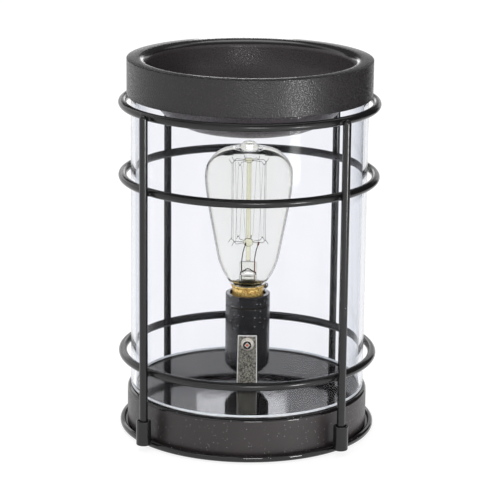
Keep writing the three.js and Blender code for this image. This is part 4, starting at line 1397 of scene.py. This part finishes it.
@dataclass
class FilamentBulb:
    """The bulb: its glass, its cap with a real thread, the stem and the wires inside."""

    seat: float = 62.6
    tip: float = 124.6
    radius: float = 18.7
    wall: float = 0.6
    neck: float = 5.75
    stem_low: float = 57.3
    outline_shares: tuple[Pair, ...] = (
        (0, 0.4), (0.07, 0.545), (0.134, 0.642), (0.2, 0.706), (0.33, 0.786), (0.445, 0.861),
        (0.527, 0.909), (0.617, 0.957), (0.7, 0.99), (0.755, 1.0), (0.81, 0.98), (0.847, 0.93),
        (0.895, 0.815), (0.926, 0.69), (0.942, 0.551), (0.952, 0.4), (0.957, 0.3),
    )
    nipple_shares: tuple[Pair, ...] = ((0.965, 0.235), (0.985, 0.16), (0.997, 0.125), (1.0, 0.09))
    cap_low: float = 46.3
    cap_rim: float = 62.3
    cap_radius: float = 6.95
    cap_sheet: float = 0.4
    cap_fold: float = 0.65
    cap_floor: float = 0.9
    shoulder_radius: float = 6.7
    shoulder_span: Pair = (60.0, 61.2)
    rim_radii: Pair = (6.9, 7.3)
    rim_steps: Pair = (61.3, 61.7)
    thread_depth: float = 0.5
    thread_pitch: float = 2.82
    thread_low: float = 47.6
    thread_high: float = 58.4
    thread_rows: int = 60
    cement_gap: float = 0.05
    cement_span: Pair = (60.2, 62.1)
    cement_foot: float = 6.0
    cement_edge: Pair = (6.75, 61.9)
    solder_size: Triple = (0.8, 0.7, 0.9)
    solder_place: Triple = (7.5, 84, 61.3)
    solder_lumps: float = 0.3
    solder_wire: float = 0.22
    solder_loop: tuple[Triple, ...] = (
        (7.4, 88, 62.0), (8.1, 89, 62.5), (8.5, 91, 61.6), (8.0, 93, 60.6), (7.2, 94, 60.4),
    )
    pinch_low: float = 66.8
    pinch_high: float = 72.2
    pinch_depth: float = 3.0
    pinch_round: float = 1.3
    pinch_place: float = 2.7
    stem_bore: float = 3.3
    stem_radius: float = 3.8
    plug_radius: float = 1.5
    plug_rise: float = 2.2
    flare_gap: float = 0.3
    flare_rise: float = 3.6
    flare_round: float = 1.5
    wire: float = 0.2
    arbor: float = 0.95
    arbor_low: float = 72.5
    lower_bead: float = 80.6
    lower_bead_radius: float = 2.0
    upper_bead: float = 116.5
    upper_bead_radius: float = 1.8
    hook_reach: float = 7.3
    hook_rise: float = 1.2
    lower_hooks: tuple[float, ...] = (81, 126, 171, 216, 261, 306)
    upper_hooks: tuple[float, ...] = (58.5, 103.5, 148.5, 193.5, 238.5, 283.5, 328.5)
    support_wire: float = 0.1
    crimp_radii: Pair = (0.3, 0.42)
    copper_reach: float = 2.2
    filament_wire: float = 0.045
    filament_ends: Pair = (36, 351)
    filament_drop: float = 0.35

    def build(self) -> None:
        """Builds the bulb from its cap to its filament."""
        self.envelope()
        self.cap()
        self.cement()
        self.solder()
        self.stem()
        self.arbor_rod()
        self.spider("lower", self.lower_bead_radius, self.lower_bead, self.lower_hooks, 1)
        self.spider("upper", self.upper_bead_radius, self.upper_bead, self.upper_hooks, -1)
        self.lead_in("left", -1, self.filament_ends[1])
        self.lead_in("right", 1, self.filament_ends[0])
        self.filament()

    def envelope(self) -> None:
        """Builds the glass from its neck to its sealed nipple."""
        length = self.tip - self.seat
        placed = [Vector((self.radius * r, 0, self.seat + length * h)) for h, r in self.outline_shares]
        outside = smooth_route(placed, 3)
        inside = []
        for before, here, after in zip(outside, outside[1:], outside[2:]):
            along = (after - before).normalized()
            inside.append(Corner(here.x - self.wall * along.z, here.z + self.wall * along.x))
        nipple = [Corner(self.radius * r, self.seat + length * h) for h, r in self.nipple_shares]
        bore = self.neck - self.wall
        outline = [
            Corner(0, inside[-1].height),
            *reversed(inside),
            Corner(bore, self.seat + self.wall, 0.4),
            Corner(bore, self.stem_low),
            Corner(self.neck, self.stem_low),
            Corner(self.neck, self.seat, 0.3),
            *(Corner(point.x, point.z) for point in outside),
            *nipple,
            Corner(0, self.tip),
        ]
        envelope = Shape.turned(outline, Facets.MIDDLE)
        for face in envelope.mesh.faces:
            if face.calc_center_median().z > nipple[0].height:
                face.material_index = 1
        envelope.piece("bulb_envelope", (BULB_GLASS, TIP_GLASS), Body.BULB, "bulb_glass", sharp=60)

    def cap(self) -> None:
        """Builds the brass cap and rolls its thread into it."""
        root = self.cap_radius - self.thread_depth
        bore = root - self.cap_sheet
        rise = (self.thread_high - self.thread_low) / self.thread_rows
        wall = [Corner(root, self.thread_low + rise * row) for row in range(self.thread_rows + 1)]
        shoulder_low, shoulder_high = self.shoulder_span
        rim_bore, rim_radius = self.rim_radii
        rim_floor, rim_low = self.rim_steps
        outline = [
            Corner(bore - self.cap_fold, self.cap_low, 0.15),
            Corner(root - self.cap_fold, self.cap_low, 0.3),
            *wall,
            Corner(self.shoulder_radius, shoulder_low, 0.25),
            Corner(self.shoulder_radius, shoulder_high, 0.2),
            Corner(rim_radius, rim_low, 0.2),
            Corner(rim_radius, self.cap_rim, 0.2),
            Corner(rim_bore, self.cap_rim, 0.2),
            Corner(bore, rim_floor),
            Corner(bore, self.cap_low + self.cap_floor),
        ]
        cap = Shape.turned(outline, Facets.MIDDLE, closed=True)
        for vertex in cap.mesh.verts:
            self.roll_thread(vertex, root)
        cap.piece("bulb_cap_shell", BRASS, Body.BULB, "bulb_cap", sharp=50)

    def roll_thread(self, vertex: bmesh.types.BMVert, root: float) -> None:
        """Moves a vertex of the cap's wall out to the thread that passes it.

        Args:
            vertex: The vertex.
            root: The radius at the thread's root.
        """
        radius = math.hypot(vertex.co.x, vertex.co.y)
        above = vertex.co.z - self.thread_low
        below = self.thread_high - vertex.co.z
        if abs(radius - root) > 0.01 or above < -0.01 or below < -0.01:
            return
        fade = min(1.0, above / self.thread_pitch, below / self.thread_pitch)
        turn = math.atan2(vertex.co.y, vertex.co.x) / FULL_TURN
        wave = 0.5 - 0.5 * math.cos(FULL_TURN * (vertex.co.z / self.thread_pitch - turn))
        swell = 1 + max(fade, 0) * self.thread_depth * wave / root
        vertex.co.x *= swell
        vertex.co.y *= swell

    def cement(self) -> None:
        """Builds the ring of cement that fills the cap's rim round the neck."""
        inner = self.neck + self.cement_gap
        low, high = self.cement_span
        outline = [
            Corner(inner, low),
            Corner(self.cement_foot, low),
            Corner(*self.cement_edge, 0.1),
            Corner(inner, high, 0.1),
        ]
        Shape.turned(outline, Facets.MIDDLE, closed=True).piece("cap_cement", CEMENT, Body.BULB)

    def solder(self) -> None:
        """Builds the bead of solder where a lead-in meets the cap's rim, with its wire end."""
        bead = Shape.blob(self.solder_size, spot(*self.solder_place), self.solder_place[1], self.solder_lumps)
        loop = smooth_route([spot(*place) for place in self.solder_loop], 5)
        bead.with_part(Shape.wire(loop, self.solder_wire))
        bead.piece("cap_solder", SOLDER, Body.BULB)

    def stem(self) -> None:
        """Builds the flared stem and the flat pinch at its top as one skin of glass."""
        flare = self.neck - self.wall - self.flare_gap
        flare_top = self.stem_low + self.flare_rise
        plug_top = self.pinch_low + self.plug_rise
        outline = [
            Corner(0, self.pinch_low),
            Corner(self.stem_bore, self.pinch_low - 0.8, 0.8),
            Corner(self.stem_bore, flare_top, self.flare_round),
            Corner(flare - 0.5, self.stem_low),
            Corner(flare, self.stem_low),
            Corner(self.stem_radius, flare_top, self.flare_round),
            Corner(self.stem_radius, self.pinch_low, 1.0),
            Corner(self.plug_radius, plug_top, 0.5),
            Corner(0, plug_top),
        ]
        tube = Shape.turned(outline, Facets.SMALL)
        middle = Vector((0, 0, (self.pinch_low + self.pinch_high) / 2))
        size = (2 * self.stem_radius, self.pinch_depth, self.pinch_high - self.pinch_low)
        tube.combined(Shape.block(size, middle, self.pinch_round, 4), "UNION")
        tube.piece("bulb_stem_glass", STEM_GLASS, Body.BULB, "bulb_stem", sharp=60)

    def arbor_rod(self) -> None:
        """Builds the glass rod on the stem with its two beads."""
        outline = [
            Corner(0, self.arbor_low),
            Corner(self.arbor, self.arbor_low, 0.2),
            Corner(self.arbor, self.lower_bead - 1.6, 0.2),
            Corner(self.lower_bead_radius, self.lower_bead - 1.2, 0.7),
            Corner(self.lower_bead_radius, self.lower_bead + 1.2, 0.7),
            Corner(self.arbor, self.lower_bead + 1.6, 0.2),
            Corner(self.arbor, self.upper_bead - 1.1, 0.2),
            Corner(self.upper_bead_radius, self.upper_bead - 0.5, 0.4),
            Corner(self.upper_bead_radius, self.upper_bead + 0.8, 0.5),
            Corner(0, self.upper_bead + 1.1),
        ]
        rod = Shape.turned(outline, Facets.SMALL)
        rod.piece("bulb_arbor_rod", ARBOR_GLASS, Body.BULB, "bulb_arbor", sharp=60)

    def spider(self, place: str, bead: float, height: float, angles: Sequence[float], way: int) -> None:
        """Builds the support wires round one bead, each with a hook at its end.

        Args:
            place: Which of the two beads it is.
            bead: The bead's radius.
            height: The bead's height.
            angles: The wires' angles from the front.
            way: 1 for hooks that are bent up and -1 for down.
        """
        tip = self.hook_reach
        bends = (
            (bead - 0.2, 0.0), (tip - 2.2, 0.1), (tip - self.hook_rise, 0.0), (tip, self.hook_rise),
            (tip + 0.5, self.hook_rise * 0.7), (tip + 1.3, self.hook_rise - 1.6),
        )
        arms = []
        for degrees in angles:
            route = [spot(reach, degrees, height + way * rise) for reach, rise in bends]
            arms.append(Shape.wire(smooth_route(route, 3), self.support_wire))
        wires = arms[0].with_part(*arms[1:])
        wires.piece(f"{place}_support_wires", WIRE, Body.BULB, f"{place}_spider")

    def lead_in(self, place: str, side: int, degrees: float) -> None:
        """Builds one wire from inside the stem, through the pinch, to an end of the filament.

        Args:
            place: Which of the two it is.
            side: -1 for the left one and 1 for the right one.
            degrees: The angle at which it ends.
        """
        x = side * self.pinch_place
        end = spot(self.hook_reach, degrees, self.lower_bead + self.hook_rise)
        clear = Vector((x, 0, self.pinch_high + 2.4))
        route = [
            Vector((x, 0, self.stem_low + self.flare_rise)),
            Vector((x, 0, self.pinch_low + 1)),
            Vector((x, 0, self.pinch_high + 0.3)),
            clear.lerp(end, 0.35),
            clear.lerp(end, 0.7),
            end,
        ]
        lead = Shape.wire(smooth_route(route, 6), self.wire)
        crimp = [route[-2].lerp(end, 0.55), end + (end - route[-2]) * 0.12]
        left_crimp, right_crimp = self.crimp_radii
        lead.with_part(Shape.wire(smooth_route(crimp, 2), right_crimp if side > 0 else left_crimp))
        for face in lead.mesh.faces:
            middle = face.calc_center_median()
            near_end = (middle - end).length < self.copper_reach
            if side > 0 and (middle.z < self.pinch_high + 0.5 or near_end):
                face.material_index = 1
        lead.piece(f"lead_in_{place}_wire", (WIRE, LEAD_COPPER), Body.BULB, f"lead_in_{place}")

    def filament(self) -> None:
        """Builds the fine wire that runs up and down between the hooks."""
        low = self.lower_bead + self.hook_rise - self.filament_drop
        high = self.upper_bead - self.hook_rise + self.filament_drop
        start, stop = self.filament_ends
        slack = 0.8
        points = [spot(self.hook_reach, start, low + 0.7)]
        for i, degrees in enumerate(self.upper_hooks):
            points += self.loop_over(degrees, high, -slack)
            if i < len(self.lower_hooks):
                points += self.loop_over(self.lower_hooks[i], low, slack)
        points.append(spot(self.hook_reach, stop, low + 0.7))
        Shape.wire(points, self.filament_wire).piece("filament_wire", WIRE, Body.BULB, "filament")

    def loop_over(self, degrees: float, height: float, rise: float) -> list[Vector]:
        """The small bend of the filament over one hook.

        Args:
            degrees: The hook's angle.
            height: The bend's height.
            rise: How far above it the straight runs start.

        Returns:
            The bend's points.
        """
        steps = ((-6, 1.0), (-4.5, 0.4), (-2, 0.08), (0, 0), (2, 0.08), (4.5, 0.4), (6, 1.0))
        return [spot(self.hook_reach, degrees + turn, height + rise * share) for turn, share in steps]


# ---------------------------------------------------------------------------------------------------
# The studio
# ---------------------------------------------------------------------------------------------------


@dataclass(frozen=True)
class Softbox:
    """A soft studio lamp. It hangs round the object and faces its middle."""

    name: str
    degrees: float
    elevation: float
    distance: float
    width: float
    height: float
    watts: float
    aim_height: float = 0.08

    def hang(self) -> None:
        """Makes the lamp."""
        aim = Vector((0, 0, self.aim_height))
        light = bpy.data.lights.new(self.name, "AREA")
        light.shape = "RECTANGLE"
        light.size = self.width
        light.size_y = self.height
        light.energy = self.watts
        lamp = bpy.data.objects.new(self.name, light)
        rise = math.radians(self.elevation)
        away = spot(math.cos(rise), self.degrees, math.sin(rise))
        lamp.location = aim + away * self.distance
        lamp.rotation_mode = "QUATERNION"
        lamp.rotation_quaternion = away.to_track_quat("Z", "Y")
        lamp.visible_camera = False
        lamp.visible_transmission = False
        bpy.context.scene.collection.objects.link(lamp)


@dataclass(frozen=True)
class Card:
    """A toned card bent round the object, which only reflections show. Sizes are in metres."""

    name: str
    start: float
    stop: float
    distance: float
    low: float
    high: float
    tone: float
    in_gloss: bool = True
    behind_glass: bool = True
    floor_from: float = 0.0

    def stand(self) -> None:
        """Makes the card."""
        shape = Shape()
        mesh = shape.mesh
        ends = [mesh.verts.new(spot(self.distance, self.start, height)) for height in (self.low, self.high)]
        mesh.edges.new(ends)
        if self.floor_from:
            mesh.edges.new((mesh.verts.new(spot(self.floor_from, self.start, self.low)), ends[0]))
        shape.spun(Facets.WIRE, math.radians(self.stop - self.start), merged=False)
        card = shape.linked(self.name, painted(f"{self.name}_tone", self.wired))
        card.visible_camera = False
        card.visible_diffuse = False
        card.visible_shadow = False
        card.visible_glossy = self.in_gloss
        card.visible_transmission = self.behind_glass

    def wired(self, wiring: Wiring) -> Socket:
        """Joins the nodes of the card's glow, which only rays from a mirror see.

        Args:
            wiring: The empty tree.

        Returns:
            The card's shader.
        """
        tone = wiring.shader("ShaderNodeEmission", {"Color": WHITE, "Strength": self.tone})
        unseen = wiring.shader("ShaderNodeBsdfTransparent")
        mirrored = wiring.node("ShaderNodeLightPath").outputs["Glossy Depth"]
        return wiring.either(mirrored, unseen, tone)


@dataclass
class Studio:
    """The camera at the photograph's place, a pale floor, a white surround and soft lamps."""

    focal_pixels: float = 2409.0
    frame_pixels: float = 500.0
    camera_place: Triple = (0.0, -0.9929, 0.3389)
    pitch: float = 14.773
    yaw: float = 0.043
    roll: float = 0.634
    floor_size: float = 6.0
    floor_drop: float = 0.0002
    paper_colours: tuple[Colour, Colour] = ((0.86, 0.86, 0.86), (0.88, 0.88, 0.88))
    paper_clouds: float = 90.0
    paper_shade: Colour = (0.3, 0.3, 0.3)
    paper_glow: float = 0.83
    light_level: float = 0.4
    lamps: tuple[Softbox, ...] = (
        Softbox("key_softbox", 42, -4, 0.5, 0.09, 0.07, 0.7),
        Softbox("fill_softbox", -30, 55, 1.5, 0.9, 0.9, 4.6),
        Softbox("top_softbox", 180, 72, 1.3, 1.0, 1.0, 6.0),
        Softbox("back_softbox", 200, 25, 1.6, 1.0, 0.8, 2.0),
        Softbox("low_softbox", 6, 20, 0.6, 0.16, 0.06, 0.7, 0.005),
    )
    cards: tuple[Card, ...] = (
        Card("right_card", 72, 145, 0.45, 0.0, 0.5, 0.03),
        Card("front_card", -44, 122, 0.45, 0.001, 0.6, 0.3, in_gloss=False, floor_from=0.058),
        Card("left_card", -125, -44, 0.45, 0.001, 0.6, 1.7, in_gloss=False, floor_from=0.058),
        Card("ceiling_card", -110, 110, 0.42, 0.45, 1.6, 0.05, behind_glass=False),
        Card("back_card", 150, 210, 0.4, 0.085, 0.155, 0.75),
        Card("bright_card", 176.3, 184.7, 0.4, 0.156, 0.22, 3.0),
        Card("rear_card", 140, 220, 0.41, 0.225, 0.8, 0.05, behind_glass=False),
    )

    def camera(self) -> None:
        """Makes the camera that looks as the photograph's did."""
        data = bpy.data.cameras.new("camera")
        data.sensor_width = 36.0
        data.lens = self.focal_pixels / self.frame_pixels * data.sensor_width
        data.clip_start = 0.01
        data.clip_end = 50.0
        camera = bpy.data.objects.new("camera", data)
        yaw, pitch, roll = (math.radians(angle) for angle in (self.yaw, self.pitch, self.roll))
        ahead = Vector((math.sin(yaw) * math.cos(pitch), math.cos(yaw) * math.cos(pitch), -math.sin(pitch)))
        level = ahead.cross(Vector((0, 0, 1))).normalized()
        upward = level.cross(ahead)
        right = math.cos(roll) * level + math.sin(roll) * upward
        up = -math.sin(roll) * level + math.cos(roll) * upward
        axes = Matrix((right, up, -ahead)).transposed().to_4x4()
        camera.matrix_world = Matrix.Translation(self.camera_place) @ axes
        bpy.context.scene.collection.objects.link(camera)
        bpy.context.scene.camera = camera

    def floor(self) -> None:
        """Lays the pale floor, white to the eye and still holding the object's shadow."""
        disc = Shape()
        sides = Facets.MIDDLE.value
        bmesh.ops.create_circle(disc.mesh, cap_ends=True, radius=self.floor_size, segments=sides)
        disc.at(Vector((0, 0, -self.floor_drop)))
        disc.linked("floor", painted("floor_paper", self.paper))

    def paper(self, wiring: Wiring) -> Socket:
        """Joins the nodes of the floor's paper, which is matt for light and glows for the eye.

        Args:
            wiring: The empty tree.

        Returns:
            The paper's shader.
        """
        clouds = wiring.stepped(wiring.grain(self.paper_clouds), 0.3, 0.7)
        matt = wiring.shader("ShaderNodeBsdfDiffuse", {"Color": wiring.blend(clouds, *self.paper_colours)})
        dim = wiring.shader("ShaderNodeBsdfDiffuse", {"Color": opaque(self.paper_shade)})
        glow = wiring.shader("ShaderNodeEmission", {"Color": WHITE, "Strength": self.paper_glow})
        return wiring.either(wiring.seen(), matt, wiring.shader("ShaderNodeAddShader", {0: dim, 1: glow}))

    def surround(self) -> None:
        """Makes the surround white to the eye, with a plain level of light on the object."""
        world = bpy.data.worlds.new("surround")
        bpy.context.scene.world = world
        wiring = Wiring(world)
        strength = wiring.stepped(wiring.seen(), 0.0, 1.0, self.light_level, 1.0)
        light = wiring.shader("ShaderNodeBackground", {"Color": WHITE, "Strength": strength})
        wiring.node("ShaderNodeOutputWorld", {"Surface": light})

    def set_up(self) -> None:
        """Sets up the camera, the floor, the surround and the lamps."""
        bpy.context.scene.view_settings.view_transform = "Standard"
        self.camera()
        self.floor()
        self.surround()
        for lamp in self.lamps:
            lamp.hang()
        for card in self.cards:
            card.stand()


def dress_carried_over() -> None:
    """Gives the CAD nodes that stay their finishes."""
    for finish, names in CARRIED_OVER.items():
        for name in names:
            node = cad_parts[name]
            node.data.materials.clear()
            node.data.materials.append(finish.material)
            LOG.info("%s keeps its CAD shape", name)


def main() -> None:
    """Sets up the studio and builds the warmer, sub-assembly by sub-assembly."""
    logging.basicConfig(level=logging.INFO, format="%(name)s: %(message)s")
    Studio().set_up()
    for part in (LampBase(), WireCage(), LampHolder(), FilamentBulb(), Chimney(), WaxDish()):
        LOG.info("building %s", type(part).__name__)
        part.build()
    dress_carried_over()


if __name__ == "__main__":
    main()
